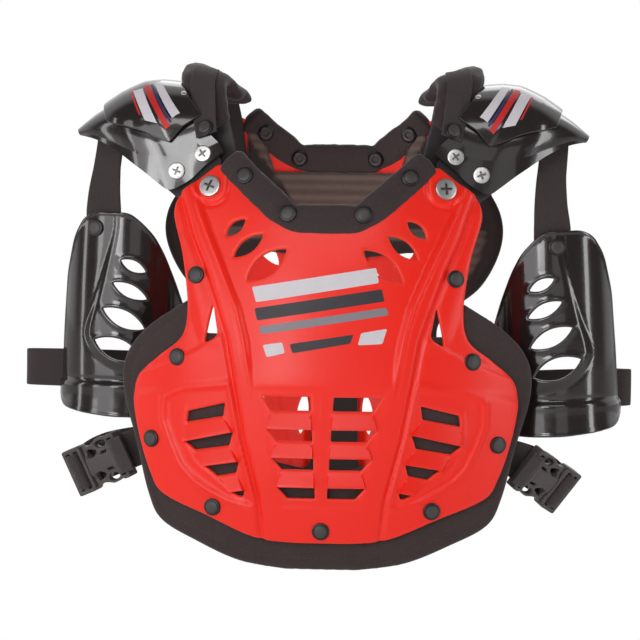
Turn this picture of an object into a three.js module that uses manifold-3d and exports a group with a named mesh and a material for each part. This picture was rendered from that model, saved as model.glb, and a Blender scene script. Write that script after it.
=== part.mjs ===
// Child's roost deflector: a chest and back guard for off-road riding, in millimetres.
// X runs to the wearer's left, Y from the chest to the back, Z up.
// The origin lies midway between the undersides of the two shoulder pads, where the guard rests on the wearer.
import * as THREE from "three";
import { mergeVertices } from "three/addons/utils/BufferGeometryUtils.js";
import Module from "manifold-3d";

const wasm = await Module();
wasm.setup();

// Driving sizes
const chestDepth = 165; // crown of the front plate to crown of the back plate
const plateWall = 2.5;
const seatGap = 0.3; // clearance between pieces that lie on each other
const linerThickness = 6;
const slatProud = 3.6; // how far a louvre's lower lip stands out of its plate
const reliefHeight = 2.5; // raised rails over the panels beside them

const front = {
  facing: -1,
  halfWidth: 128.5,
  height: 250,
  top: -52, // level of the shoulder corners
  crown: chestDepth / 2,
  sideWrap: 38,
  wrapPower: 2.2,
  topLean: 24,
  leanFrom: 0.45,
  bottomTuck: 8,
};
const back = {
  facing: 1,
  halfWidth: 0.856 * front.halfWidth,
  height: 1.14 * front.height,
  top: front.top + 0.148 * front.height,
  crown: chestDepth / 2,
  sideWrap: 40,
  wrapPower: 2.2,
  topLean: 20,
  leanFrom: 0.5,
  bottomTuck: 8,
};

const collarWidth = 20;
const collarThickness = 10;
const rivetRadius = 5.8;
const rivetHeight = 2.6;
const bigScrewRadius = 7.4;
const smallScrewRadius = 5.4;
const screwHeight = 2.4;
const screwEase = 0.6; // a cap screw's stand-off over the flange's flat facets

const webbingWidth = 25;
const webbingThickness = 1.6;
const padThickness = 14;
const padWidth = 31;
const archThickness = 2;
const archWidth = 24;
const capWall = 2.2;
const capReach = 173; // middle of the body to the cap's tip

const guardHalfWidth = 40;
const guardHeight = 0.556 * front.height;
const guardTop = front.top - 0.136 * front.height; // level of its upper edge, on the side that hangs higher
const guardBulge = 36; // how far the arm guard's front stands before its edges
const guardWall = 2.2;
const guardEdgeY = 10;

// Materials
const materials = {
  redPlastic: new THREE.MeshStandardMaterial({ color: 0xe8281c, roughness: 0.34, metalness: 0 }),
  foam: new THREE.MeshStandardMaterial({ color: 0x2b2728, roughness: 0.9, metalness: 0 }),
  liningCloth: new THREE.MeshStandardMaterial({ color: 0x5b4f49, roughness: 0.9, metalness: 0 }),
  collarCloth: new THREE.MeshStandardMaterial({ color: 0x262123, roughness: 0.85, metalness: 0 }),
  glossBlack: new THREE.MeshStandardMaterial({ color: 0x141012, roughness: 0.15, metalness: 0 }),
  mattBlack: new THREE.MeshStandardMaterial({ color: 0x2a2628, roughness: 0.55, metalness: 0 }),
  webbing: new THREE.MeshStandardMaterial({ color: 0x231e20, roughness: 0.85, metalness: 0 }),
  rivet: new THREE.MeshStandardMaterial({ color: 0x403b3c, roughness: 0.5, metalness: 0 }),
  steel: new THREE.MeshStandardMaterial({ color: 0xd8d5d2, roughness: 0.2, metalness: 1 }),
};

const deflector = new THREE.Group();

function add(name, geometry, material) {
  const mesh = new THREE.Mesh(geometry, material);
  mesh.name = name;
  deflector.add(mesh);
  return mesh;
}

// A pair of pieces: made for the positive X side, and mirrored for the other.
// The arm guards hang at shares of the caps' reach, and the buckles lie at shares of the front plate's sizes.
const sides = [
  {
    name: "left", sign: 1, spread: 0.867 * capReach, hang: 0.032 * front.height, hangX: 0.89 * capReach,
    bandReach: 13, droop: 37, turn: 47, buckleX: 1.043 * front.halfWidth, buckleZ: front.top - 0.804 * front.height,
  },
  {
    name: "right", sign: -1, spread: 0.809 * capReach, hang: 0, hangX: 0.861 * capReach,
    bandReach: 31, droop: 25, turn: 34, buckleX: 1.066 * front.halfWidth, buckleZ: front.top - 0.788 * front.height,
  },
];

function addPair(name, material, make) {
  for (const side of sides) {
    const geometry = make(side);
    add(name + "_" + side.name, side.sign > 0 ? geometry : mirrored(geometry), material);
  }
}

// Closed solids

function closed(points, triangles) {
  const positions = new Float32Array(points.flatMap((p) => [p.x, p.y, p.z]));
  let volume = 0;
  for (const [a, b, c] of triangles) volume += points[a].dot(points[b].clone().cross(points[c]));
  const outward = volume < 0 ? triangles.map(([a, b, c]) => [a, c, b]) : triangles;
  return new THREE.BufferGeometry()
    .setAttribute("position", new THREE.BufferAttribute(positions, 3))
    .setIndex(outward.flat());
}

function toSolid(geometry) {
  const bare = geometry.clone();
  for (const name of Object.keys(bare.attributes)) if (name !== "position") bare.deleteAttribute(name);
  const merged = mergeVertices(bare, 1e-4);
  return new wasm.Manifold(
    new wasm.Mesh({
      numProp: 3,
      vertProperties: new Float32Array(merged.attributes.position.array),
      triVerts: new Uint32Array(merged.index.array),
    }),
  );
}

function toGeometry(solid) {
  const mesh = solid.getMesh();
  return new THREE.BufferGeometry()
    .setAttribute("position", new THREE.BufferAttribute(new Float32Array(mesh.vertProperties), 3))
    .setIndex(new THREE.BufferAttribute(new Uint32Array(mesh.triVerts), 1));
}

function mirrored(geometry) {
  const turned = geometry.clone().scale(-1, 1, 1);
  const index = turned.index
    ? Array.from(turned.index.array)
    : Array.from({ length: turned.attributes.position.count }, (_, i) => i);
  for (let i = 0; i < index.length; i += 3) [index[i + 1], index[i + 2]] = [index[i + 2], index[i + 1]];
  return turned.setIndex(index);
}

// A wall between two grids of points, both [row][column]. The first flipped columns take the other diagonal.
function wallBetween(outer, inner, flipped = 0) {
  const rows = outer.length;
  const columns = outer[0].length;
  const points = [...outer.flat(), ...inner.flat()];
  const at = (layer, r, c) => layer * rows * columns + r * columns + c;
  const triangles = [];
  const quad = (a, b, c, d) => triangles.push([a, b, c], [a, c, d]);
  for (let r = 0; r + 1 < rows; r++) {
    for (let c = 0; c + 1 < columns; c++) {
      if (c < flipped) {
        quad(at(0, r, c + 1), at(0, r + 1, c + 1), at(0, r + 1, c), at(0, r, c));
        quad(at(1, r, c + 1), at(1, r, c), at(1, r + 1, c), at(1, r + 1, c + 1));
      } else {
        quad(at(0, r, c), at(0, r, c + 1), at(0, r + 1, c + 1), at(0, r + 1, c));
        quad(at(1, r, c), at(1, r + 1, c), at(1, r + 1, c + 1), at(1, r, c + 1));
      }
    }
    quad(at(0, r, 0), at(0, r + 1, 0), at(1, r + 1, 0), at(1, r, 0));
    const last = columns - 1;
    quad(at(0, r, last), at(1, r, last), at(1, r + 1, last), at(0, r + 1, last));
  }
  for (let c = 0; c + 1 < columns; c++) {
    quad(at(0, 0, c), at(1, 0, c), at(1, 0, c + 1), at(0, 0, c + 1));
    const last = rows - 1;
    quad(at(0, last, c), at(0, last, c + 1), at(1, last, c + 1), at(1, last, c));
  }
  return closed(points, triangles);
}

// A bar through a row of rings, each a list of the same number of points.
function throughRings(rings) {
  const sidesOfRing = rings[0].length;
  const points = rings.flat();
  const triangles = [];
  for (let r = 0; r + 1 < rings.length; r++) {
    for (let i = 0; i < sidesOfRing; i++) {
      const j = (i + 1) % sidesOfRing;
      const a = r * sidesOfRing;
      const b = a + sidesOfRing;
      triangles.push([a + i, a + j, b + j], [a + i, b + j, b + i]);
    }
  }
  const last = (rings.length - 1) * sidesOfRing;
  for (let i = 1; i + 1 < sidesOfRing; i++) {
    triangles.push([0, i + 1, i], [last, last + i, last + i + 1]);
  }
  return closed(points, triangles);
}

// A strip or roll along stations {point, across, out, width, thickness}. A round section has roundSides sides.
function sweep(stations, roundSides = 0) {
  const corners = roundSides
    ? Array.from({ length: roundSides }, (_, i) => {
        const angle = ((i + 0.5) / roundSides) * 2 * Math.PI;
        const square = 0.72; // below 1 a round section fills its box more
        const bend = (value) => Math.sign(value) * Math.abs(value) ** square;
        return [bend(Math.cos(angle)) / 2, bend(Math.sin(angle)) / 2];
      })
    : [[-0.5, -0.5], [0.5, -0.5], [0.5, 0.5], [-0.5, 0.5]];
  return throughRings(
    stations.map(({ point, across, out, width, thickness }) =>
      corners.map(([a, b]) =>
        point
          .clone()
          .addScaledVector(across, a * width)
          .addScaledVector(out, b * thickness),
      ),
    ),
  );
}

// A prism along Y with the outline given as [x, z] points.
function prismAlongY(outline, yFrom, yTo) {
  const apart = (p, q) => Math.hypot(p[0] - q[0], p[1] - q[1]) > 0.01;
  const distinct = outline.filter((p, i) => apart(p, outline[(i + 1) % outline.length]));
  const shape = new THREE.Shape(distinct.map(([x, z]) => new THREE.Vector2(x, z)));
  return new THREE.ExtrudeGeometry(shape, { depth: yTo - yFrom, bevelEnabled: false })
    .rotateX(Math.PI / 2)
    .translate(0, yTo, 0);
}

// A round piece whose axis runs along a direction, from a profile of [radius, height] points.
function turned(profile, at, direction, segments) {
  const geometry = new THREE.LatheGeometry(
    profile.map(([r, h]) => new THREE.Vector2(r, h)),
    segments,
  );
  const turn = new THREE.Quaternion().setFromUnitVectors(new THREE.Vector3(0, 1, 0), direction);
  return geometry.applyQuaternion(turn).translate(at.x, at.y, at.z);
}

// Curved panels: each point is given by u, a share of the half width, and v, a share of the height.

const panelZ = (panel, v) => panel.top - panel.height * (1 - v);
const panelX = (panel, u) => panel.halfWidth * u;

function panelY(panel, x, z) {
  const u = x / panel.halfWidth;
  const v = 1 - (panel.top - z) / panel.height;
  const wrap = panel.sideWrap * Math.abs(u) ** panel.wrapPower;
  const lean = panel.topLean * Math.max(0, (v - panel.leanFrom) / (1 - panel.leanFrom)) ** 2;
  const tuck = panel.bottomTuck * Math.max(0, (panel.leanFrom - v) / panel.leanFrom) ** 2;
  return panel.facing * (panel.crown - wrap - lean - tuck);
}

function panelNormal(panel, x, z) {
  const step = 0.5;
  const slopeX = (panelY(panel, x + step, z) - panelY(panel, x - step, z)) / (2 * step);
  const slopeZ = (panelY(panel, x, z + step) - panelY(panel, x, z - step)) / (2 * step);
  return new THREE.Vector3(-slopeX, 1, -slopeZ).multiplyScalar(panel.facing).normalize();
}

function onPanel(panel, x, z, lift) {
  return new THREE.Vector3(x, panelY(panel, x, z), z).addScaledVector(panelNormal(panel, x, z), lift);
}

const onPanelShare = (panel, u, v, lift) => onPanel(panel, panelX(panel, u), panelZ(panel, v), lift);

// Value of a column of a table at v, between its rows, which run from high v to low v.
function fromTable(table, column, v) {
  if (v >= table[0].v) return table[0][column];
  for (let i = 0; i + 1 < table.length; i++) {
    const [a, b] = [table[i], table[i + 1]];
    if (v <= a.v && v >= b.v) return b[column] + ((v - b.v) / (a.v - b.v)) * (a[column] - b[column]);
  }
  return table[table.length - 1][column];
}

// A slab that follows a panel between two lifts over the whole panel, before its outline is cut.
function panelSlab(panel, columnsAt, rowsV, liftOut, liftIn, relief = () => 0) {
  const outer = [];
  const inner = [];
  for (const v of rowsV) {
    const columns = columnsAt(v);
    outer.push(columns.map((u) => onPanelShare(panel, u, v, liftOut + relief(u, v))));
    inner.push(columns.map((u) => onPanelShare(panel, u, v, liftIn + relief(u, v))));
  }
  return toSolid(wallBetween(outer, inner, columnsAt(0).filter((u) => u < 0).length));
}

const symmetric = (shares) => [...shares.slice(1).reverse().map((u) => -u), ...shares];

// Half an outline in shares, from the middle at the top to the middle at the bottom, in straight and smooth runs.
function halfOutline(runs, divisions = 2) {
  const path = new THREE.Path();
  runs.forEach((run, i) => {
    const points = run.points.map(({ u, v }) => new THREE.Vector2(u, v));
    if (i === 0) path.moveTo(points[0].x, points[0].y);
    const rest = i === 0 ? points.slice(1) : points;
    if (run.smooth) path.splineThru(rest);
    else for (const p of rest) path.lineTo(p.x, p.y);
  });
  return path.getPoints(divisions).map((p) => [p.x, p.y]);
}

function fullOutline(panel, half) {
  const right = half.map(([u, v]) => [panelX(panel, u), panelZ(panel, v)]);
  const left = right
    .filter(([x]) => x > 1e-6)
    .map(([x, z]) => [-x, z])
    .reverse();
  return [...right, ...left];
}

const panelReach = chestDepth; // longer than any panel is deep, so that a cutter passes through it

const oneSideCutter = (panel, outline) =>
  toSolid(panel.facing < 0 ? prismAlongY(outline, -panelReach, 0) : prismAlongY(outline, 0, panelReach));

// A pointed leaf, as [x, z] points.
function leaf({ x, z, length, width, tilt }, steps = 3) {
  const angle = (tilt * Math.PI) / 180;
  const edge = [];
  for (const side of [1, -1]) {
    for (let i = 0; i < steps; i++) {
      const along = side * (-0.5 + i / steps);
      const bulge = side * 0.5 * Math.sin(Math.PI * (i / steps)) ** 0.85;
      edge.push([along * length, bulge * width]);
    }
  }
  const [c, s] = [Math.cos(angle), Math.sin(angle)];
  return edge.map(([a, b]) => [x + a * c - b * s, z + a * s + b * c]);
}

// A leaf on a panel; its length and width are shares of the panel's half width.
const panelLeaf = (panel, { u, v, length, width, tilt }) =>
  leaf({
    x: panelX(panel, u),
    z: panelZ(panel, v),
    length: length * panel.halfWidth,
    width: width * panel.halfWidth,
    tilt,
  });

const bothSides = (outline) => [outline, outline.map(([x, z]) => [-x, z]).reverse()];

// Front plate

const frontOutline = halfOutline([
  {
    points: [
      { u: 0, v: 0.862 }, { u: 0.17, v: 0.862 }, { u: 0.22, v: 0.88 },
      { u: 0.52, v: 1 }, { u: 0.58, v: 0.994 }, { u: 0.78, v: 0.914 },
    ],
  },
  {
    smooth: true,
    points: [
      { u: 0.8, v: 0.86 }, { u: 0.745, v: 0.75 }, { u: 0.717, v: 0.62 }, { u: 0.745, v: 0.54 }, { u: 0.863, v: 0.488 },
      { u: 0.972, v: 0.435 }, { u: 1, v: 0.374 }, { u: 0.97, v: 0.276 }, { u: 0.904, v: 0.171 }, { u: 0.83, v: 0.115 },
      { u: 0.6, v: 0.065 }, { u: 0.349, v: 0.012 }, { u: 0.15, v: 0 },
    ],
  },
  { points: [{ u: 0, v: 0 }] },
]);

// The raised rails run from the shoulders down to the lower edge. Inner and outer foot, as shares of the half width.
const railTable = [
  { v: 1.06, inner: 0.76, outer: 0.87 },
  { v: 0.89, inner: 0.648, outer: 0.745 },
  { v: 0.78, inner: 0.577, outer: 0.68 },
  { v: 0.67, inner: 0.498, outer: 0.6 },
  { v: 0.58, inner: 0.429, outer: 0.552 },
  { v: 0.44, inner: 0.357, outer: 0.466 },
  { v: 0.276, inner: 0.3, outer: 0.405 },
  { v: 0.118, inner: 0.25, outer: 0.324 },
  { v: -0.08, inner: 0.21, outer: 0.28 },
];
const panelFoot = 0.425; // lower end of the sunk middle panel
const panelStep = 0.02;
const railRamp = 0.022;

function frontColumns(v) {
  const inner = fromTable(railTable, "inner", v);
  const outer = fromTable(railTable, "outer", v);
  const beyond = (share) => outer + share * (1.08 - outer);
  const rail = [inner, inner + railRamp, outer - railRamp, outer];
  return symmetric([0, inner / 2, ...rail, beyond(0.33), beyond(0.66), beyond(1)]);
}

function frontRelief(u, v) {
  const inner = fromTable(railTable, "inner", v);
  const outer = fromTable(railTable, "outer", v);
  const reach = Math.abs(u);
  if (reach > outer - railRamp / 2) return 0;
  if (reach > inner + railRamp / 2) return reliefHeight;
  return v > panelFoot ? 0 : reliefHeight;
}

// The same columns without the rails' ramps, for what lies behind the plate and must run parallel to it.
function frontLiningColumns(v) {
  const inner = fromTable(railTable, "inner", v);
  const outer = fromTable(railTable, "outer", v);
  const beyond = (share) => outer + share * (1.08 - outer);
  return symmetric([0, inner / 2, inner, outer, beyond(0.33), beyond(0.66), beyond(1)]);
}

const frontRows = [1.06, 0.93, 0.84, 0.74, 0.64, 0.54, panelFoot + panelStep, panelFoot, 0.32, 0.2, 0.08, -0.08];

const frontVents = [
  { u: 0.47, v: 0.832, length: 0.132, width: 0.058, tilt: -42 },
  { u: 0.4, v: 0.785, length: 0.195, width: 0.07, tilt: -38 },
  { u: 0.3, v: 0.736, length: 0.257, width: 0.101, tilt: -39 },
];
const sideWindow = [{ u: 0.578, v: 0.63 }, { u: 0.547, v: 0.545 }, { u: 0.622, v: 0.522 }];

// Louvre openings: the four corners of each, from the inner top one outwards and round.
const middleGrille = [
  [{ u: 0.06, v: 0.39 }, { u: 0.308, v: 0.39 }, { u: 0.262, v: 0.353 }, { u: 0.056, v: 0.353 }],
  [{ u: 0.05, v: 0.304 }, { u: 0.281, v: 0.304 }, { u: 0.231, v: 0.272 }, { u: 0.047, v: 0.272 }],
  [{ u: 0.042, v: 0.228 }, { u: 0.257, v: 0.228 }, { u: 0.205, v: 0.196 }, { u: 0.039, v: 0.196 }],
  [{ u: 0.034, v: 0.15 }, { u: 0.226, v: 0.15 }, { u: 0.175, v: 0.12 }, { u: 0.031, v: 0.12 }],
];
const sideGrille = [
  [{ u: 0.506, v: 0.367 }, { u: 0.704, v: 0.341 }, { u: 0.711, v: 0.312 }, { u: 0.515, v: 0.332 }],
  [{ u: 0.462, v: 0.29 }, { u: 0.717, v: 0.259 }, { u: 0.665, v: 0.238 }, { u: 0.483, v: 0.254 }],
  [{ u: 0.431, v: 0.212 }, { u: 0.609, v: 0.196 }, { u: 0.545, v: 0.171 }, { u: 0.444, v: 0.182 }],
  [{ u: 0.4, v: 0.136 }, { u: 0.465, v: 0.13 }, { u: 0.43, v: 0.12 }, { u: 0.405, v: 0.119 }],
];

// The louvre between two openings: flush at the upper one's lower edge and proud at the lower one's upper edge.
function slat(panel, upper, lower, mirror) {
  const inset = 0.6;
  const edge = [upper[3], upper[2], lower[1], lower[0]];
  const lifts = [-inset, -inset, slatProud, slatProud];
  const reliefHere = (p) => frontRelief(p.u, p.v);
  const place = (p, lift) => onPanelShare(panel, mirror * p.u, p.v, lift + reliefHere(p));
  const faceOut = edge.map((p, i) => place(p, lifts[i]));
  const faceIn = edge.map((p) => place(p, -plateWall + inset));
  const inRows = ([a, b, c, d]) => [[a, b], [d, c]];
  return toSolid(wallBetween(inRows(faceOut), inRows(faceIn)));
}

function makeFrontPlate() {
  let plate = panelSlab(front, frontColumns, frontRows, 0, -plateWall, frontRelief);
  plate = plate.intersect(oneSideCutter(front, fullOutline(front, frontOutline)));
  for (const grille of [middleGrille, sideGrille]) {
    for (let i = 0; i + 1 < grille.length; i++) {
      for (const mirror of [1, -1]) plate = plate.add(slat(front, grille[i], grille[i + 1], mirror));
    }
  }
  const place = ({ u, v }) => [panelX(front, u), panelZ(front, v)];
  const openings = [
    ...frontVents.map((vent) => panelLeaf(front, vent)),
    sideWindow.map(place),
    ...[...middleGrille, ...sideGrille].map((opening) => opening.map(place).reverse()),
  ];
  for (const opening of openings.flatMap(bothSides)) plate = plate.subtract(oneSideCutter(front, opening));
  return plate;
}

// Front liner: a padded U behind the plate's lower half, standing out beyond its edge.
const frontLinerOuter = halfOutline([
  { points: [{ u: 0.735, v: 0.638 }] },
  {
    smooth: true,
    points: [
      { u: 0.94, v: 0.552 }, { u: 1.045, v: 0.465 }, { u: 1.05, v: 0.375 }, { u: 0.975, v: 0.237 },
      { u: 0.907, v: 0.115 }, { u: 0.83, v: 0.052 }, { u: 0.647, v: 0.002 }, { u: 0.431, v: -0.046 }, { u: 0.2, v: -0.064 },
    ],
  },
  { points: [{ u: 0, v: -0.064 }] },
]);
const frontLinerInner = halfOutline([
  { points: [{ u: 0.622, v: 0.551 }, { u: 0.52, v: 0.551 }] },
  {
    smooth: true,
    points: [{ u: 0.38, v: 0.49 }, { u: 0.345, v: 0.38 }, { u: 0.308, v: 0.276 }, { u: 0.235, v: 0.21 }, { u: 0.1, v: 0.187 }],
  },
  { points: [{ u: 0, v: 0.186 }] },
], 1);

function makeFrontLiner() {
  const liftOut = -(plateWall + seatGap);
  const slab = panelSlab(front, frontLiningColumns, frontRows, liftOut, liftOut - linerThickness);
  const place = ([u, v]) => [panelX(front, u), panelZ(front, v)];
  const right = [...frontLinerOuter.map(place), ...frontLinerInner.map(place).reverse()];
  const both = bothSides(right).map((half) => oneSideCutter(front, half));
  return slab.intersect(both[0].add(both[1]));
}

// Back plate and its liner
const backOutline = halfOutline([
  { points: [{ u: 0, v: 0.877 }, { u: 0.227, v: 0.877 }, { u: 0.29, v: 0.893 }, { u: 0.54, v: 0.972 }, { u: 0.62, v: 0.985 }] },
  {
    smooth: true,
    points: [
      { u: 0.72, v: 0.905 }, { u: 0.9, v: 0.82 }, { u: 1.02, v: 0.74 }, { u: 1.02, v: 0.66 }, { u: 0.9, v: 0.57 },
      { u: 0.68, v: 0.5 }, { u: 0.636, v: 0.445 }, { u: 0.7, v: 0.37 }, { u: 0.86, v: 0.31 }, { u: 0.945, v: 0.24 },
      { u: 0.93, v: 0.15 }, { u: 0.8, v: 0.075 }, { u: 0.5, v: 0.022 }, { u: 0.2, v: 0 },
    ],
  },
  { points: [{ u: 0, v: 0 }] },
], 1);
const backLinerGrow = 1.055; // the liner's outline, about the plate's middle, over the plate's own
const backLinerCentre = { u: 0, v: 0.47 };
const backRows = [1.04, 0.92, 0.8, 0.66, 0.52, 0.38, 0.24, 0.1, -0.04];
const spineHalf = 0.13;
const spineRaised = 0.2;
const backColumns = () => symmetric([0, spineHalf, spineRaised, 0.4, 0.6, 0.8, 0.95, 1.12]);
const backLiningColumns = () => symmetric([0, spineRaised, 0.4, 0.6, 0.8, 0.95, 1.12]);
const backRelief = (u) => (Math.abs(u) < spineRaised - 0.01 ? reliefHeight : 0);

const backVents = [
  { u: 0.45, v: 0.655, length: 0.236, width: 0.082, tilt: 52 },
  { u: 0.62, v: 0.7, length: 0.182, width: 0.068, tilt: 52 },
];
const backSlots = [
  { u: 0.27, v: 0.56, length: 0.236, width: 0.073, tilt: 96 },
  { u: 0.24, v: 0.4, length: 0.255, width: 0.073, tilt: 96 },
  { u: 0.21, v: 0.252, length: 0.273, width: 0.073, tilt: 96 },
  { u: 0.5, v: 0.27, length: 0.273, width: 0.082, tilt: 96 },
];

function makeBackPlate() {
  let plate = panelSlab(back, backColumns, backRows, 0, -plateWall, backRelief);
  plate = plate.intersect(oneSideCutter(back, fullOutline(back, backOutline)));
  const openings = [
    ...[...backVents, ...backSlots].map((vent) => panelLeaf(back, vent)),
  ];
  for (const opening of openings.flatMap(bothSides)) plate = plate.subtract(oneSideCutter(back, opening));
  return plate;
}

const backLinerWindow = [
  { u: 0.13, v: 0.64 }, { u: 0.55, v: 0.66 }, { u: 0.72, v: 0.61 }, { u: 0.5, v: 0.47 },
  { u: 0.52, v: 0.38 }, { u: 0.66, v: 0.27 }, { u: 0.6, v: 0.15 }, { u: 0.16, v: 0.11 },
];
const linerNeckDrop = 0.075; // the liner stops this share of the height below the neck edge, clear of the collar

function makeBackLiner() {
  const liftOut = -(plateWall + seatGap);
  const slab = panelSlab(back, backLiningColumns, backRows, liftOut, liftOut - linerThickness);
  const grown = backOutline.map(([u, v]) => [
    backLinerCentre.u + (u - backLinerCentre.u) * backLinerGrow,
    Math.min(backLinerCentre.v + (v - backLinerCentre.v) * backLinerGrow, backOutline[0][1] - linerNeckDrop),
  ]);
  let liner = slab.intersect(oneSideCutter(back, fullOutline(back, grown)));
  const window = backLinerWindow.map(({ u, v }) => [panelX(back, u), panelZ(back, v)]);
  for (const opening of bothSides(window)) liner = liner.subtract(oneSideCutter(back, opening));
  return liner;
}

// Padded neck collars, folded over the plates' neck edges

const frontCollarPath = [
  { u: 0, v: 0.858 }, { u: 0.17, v: 0.859 }, { u: 0.226, v: 0.876 }, { u: 0.426, v: 0.966 }, { u: 0.525, v: 1.016 },
];
const backCollarPath = [
  { u: 0, v: 0.886 }, { u: 0.235, v: 0.886 }, { u: 0.3, v: 0.899 }, { u: 0.5, v: 0.962 }, { u: 0.57, v: 0.988 },
];

function makeCollar(panel, path, plateBlank) {
  const lift = -plateWall / 2;
  const half = [];
  for (let i = 0; i + 1 < path.length; i++) {
    const steps = i === 2 ? 2 : 1;
    for (let s = 0; s < steps; s++) {
      const share = s / steps;
      half.push({
        u: path[i].u + share * (path[i + 1].u - path[i].u),
        v: path[i].v + share * (path[i + 1].v - path[i].v),
      });
    }
  }
  half.push(path[path.length - 1]);
  const whole = [...half.slice(1).reverse().map(({ u, v }) => ({ u: -u, v })), ...half];
  const places = whole.map(({ u, v }) => onPanelShare(panel, u, v, lift));
  const stations = whole.map(({ u, v }, i) => {
    const along = places[Math.min(i + 1, places.length - 1)].clone().sub(places[Math.max(i - 1, 0)]).normalize();
    const out = panelNormal(panel, panelX(panel, u), panelZ(panel, v));
    const across = out.clone().cross(along).normalize();
    const end = i === 0 || i === whole.length - 1 ? 0.75 : 1;
    return { point: places[i], across, out, width: collarWidth * end, thickness: collarThickness * end };
  });
  return toSolid(sweep(stations, 8)).subtract(plateBlank);
}

// The plate with a clearance all round and no openings, to cut its seat in the collar.
function plateBlank(panel, columns, rows, outline, relief) {
  const slab = panelSlab(panel, columns, rows, seatGap, -(plateWall + seatGap), relief);
  const raised = outline.map(([u, v]) => [u, v + seatGap / panel.height]);
  return slab.intersect(oneSideCutter(panel, fullOutline(panel, raised)));
}

// Shoulder straps: a strip from behind the front plate over the shoulder to the inside of the back plate.
const bracketThickness = 2.2;
const bracketLift = -(plateWall + seatGap);

const archEase = 1.2; // room behind the panels for the strip's flat facets
const archTop = padThickness / 2;
const archTopX = 0.677 * front.halfWidth; // middle of a strip at the top of the shoulder

// Along a strip: x as a share of archTopX. On a panel, v is the panel's own and away the extra room behind it; off it,
// y is a share of the depth at which the strip meets that side's panel, and rise runs from the front plate's corners,
// at 0, to the shoulder's top, at 1.
const archTable = [
  { x: 0.885, v: 0.904, panel: front },
  { x: 0.885, v: 0.976, panel: front },
  { x: 0.9, v: 1.056, panel: front, away: 1.5 },
  { x: 0.94, y: -0.69, rise: 0.576 },
  { x: 0.99, y: -0.49, rise: 0.898 },
  { x: 1, y: -0.1, rise: 1 },
  { x: 0.966, y: 0.332, rise: 0.966 },
  { x: 0.92, y: 0.735, rise: 0.729 },
  { x: 0.897, v: 0.954, panel: back },
  { x: 0.874, v: 0.884, panel: back },
];

function archSeat({ x, v, panel, away = 0 }) {
  const carried = panel === front ? seatGap + bracketThickness : 0;
  const behind = plateWall + carried + seatGap + archEase + archThickness / 2 + away;
  return onPanel(panel, x * archTopX, panelZ(panel, v), -behind);
}

// Where the strip leaves each panel, and the panel's slope across the strip there.
function archEnd(row) {
  const point = archSeat(row);
  const normal = panelNormal(row.panel, point.x, point.z);
  return { y: point.y, slope: -normal.x / normal.y };
}

const frontEnd = archEnd(archTable[1]);
const backEnd = archEnd(archTable[archTable.length - 2]);

function archPoint(row) {
  if (row.panel) return archSeat(row);
  const depth = row.y < 0 ? -frontEnd.y : backEnd.y;
  return new THREE.Vector3(row.x * archTopX, row.y * depth, front.top + row.rise * (archTop - front.top));
}

const archCurve = new THREE.CatmullRomCurve3(archTable.map(archPoint), false, "centripetal");

// Frame of the arch at a share of its length: along it, across it towards the arm, and out of the body.
function archFrame(share) {
  const point = archCurve.getPointAt(share);
  const along = archCurve.getTangentAt(share);
  const end = point.y < 0 ? frontEnd : backEnd;
  const across = new THREE.Vector3(1, end.slope * Math.min(1, point.y / end.y), 0);
  across.addScaledVector(along, -across.dot(along)).normalize();
  const out = across.clone().cross(along).normalize();
  if (out.dot(new THREE.Vector3(0, point.y, point.z + front.height / 2)) < 0) out.negate();
  return { point, along, across, out };
}

function alongArch(from, to, steps, describe) {
  return Array.from({ length: steps + 1 }, (_, i) => {
    const share = from + ((to - from) * i) / steps;
    return { ...archFrame(share), ...describe(i / steps, share) };
  });
}

const archSteps = 18;
const padFrom = 5 / archSteps;
const padTo = 13 / archSteps;

function makeArch() {
  return sweep(alongArch(0, 1, archSteps, () => ({ width: archWidth, thickness: archThickness })));
}

function makeShoulderPad() {
  const roll = sweep(
    alongArch(padFrom, padTo, 8, (t) => {
      const swell = 0.8 + 0.2 * Math.sin(Math.PI * t);
      return { width: padWidth * swell, thickness: padThickness * swell };
    }),
    8,
  );
  const sleeve = sweep(
    alongArch(padFrom - 1 / archSteps, padTo + 1 / archSteps, (padTo - padFrom) * archSteps + 2, () => ({
      width: archWidth + 2 * seatGap,
      thickness: archThickness + 2 * seatGap,
    })),
  );
  return toGeometry(toSolid(roll).subtract(toSolid(sleeve)));
}

const snapStrapWidth = 22;
const snapStrapEnd = 15;
const snapRise = 12; // its snapped end lies over the shoulder cap's inner corner
const snapFrom = 0.25;
const snapTo = 0.56;

function snapStations() {
  const lifted = alongArch(snapFrom, snapTo, 9, (t, share) => {
    const padShare = (share - padFrom) / (padTo - padFrom);
    const swell = 0.8 + 0.2 * Math.sin(Math.PI * Math.max(0, padShare));
    const width = snapStrapEnd + (snapStrapWidth - snapStrapEnd) * Math.min(1, t * 1.6);
    const overCap = snapRise * Math.max(0, 1 - t * 1.6);
    return { width, lift: (padThickness * swell) / 2 + seatGap + webbingThickness / 2 + overCap };
  });
  const points = lifted.map(({ point, out, lift }) => point.clone().addScaledVector(out, lift));
  return lifted.map(({ across, width }, i) => {
    const along = points[Math.min(i + 1, points.length - 1)].clone().sub(points[Math.max(i - 1, 0)]).normalize();
    const out = across.clone().cross(along).normalize();
    return { point: points[i], across, out, width, thickness: webbingThickness };
  });
}

// Cap bracket: the plate behind the chest plate's shoulder corner that carries the shoulder cap.
const bracketOutline = [
  { u: 0.56, v: 0.888 }, { u: 0.747, v: 0.888 }, { u: 0.848, v: 0.928 }, { u: 0.879, v: 0.976 },
  { u: 0.794, v: 1.024 }, { u: 0.685, v: 1.06 }, { u: 0.615, v: 1.048 }, { u: 0.56, v: 1.008 },
];

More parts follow.
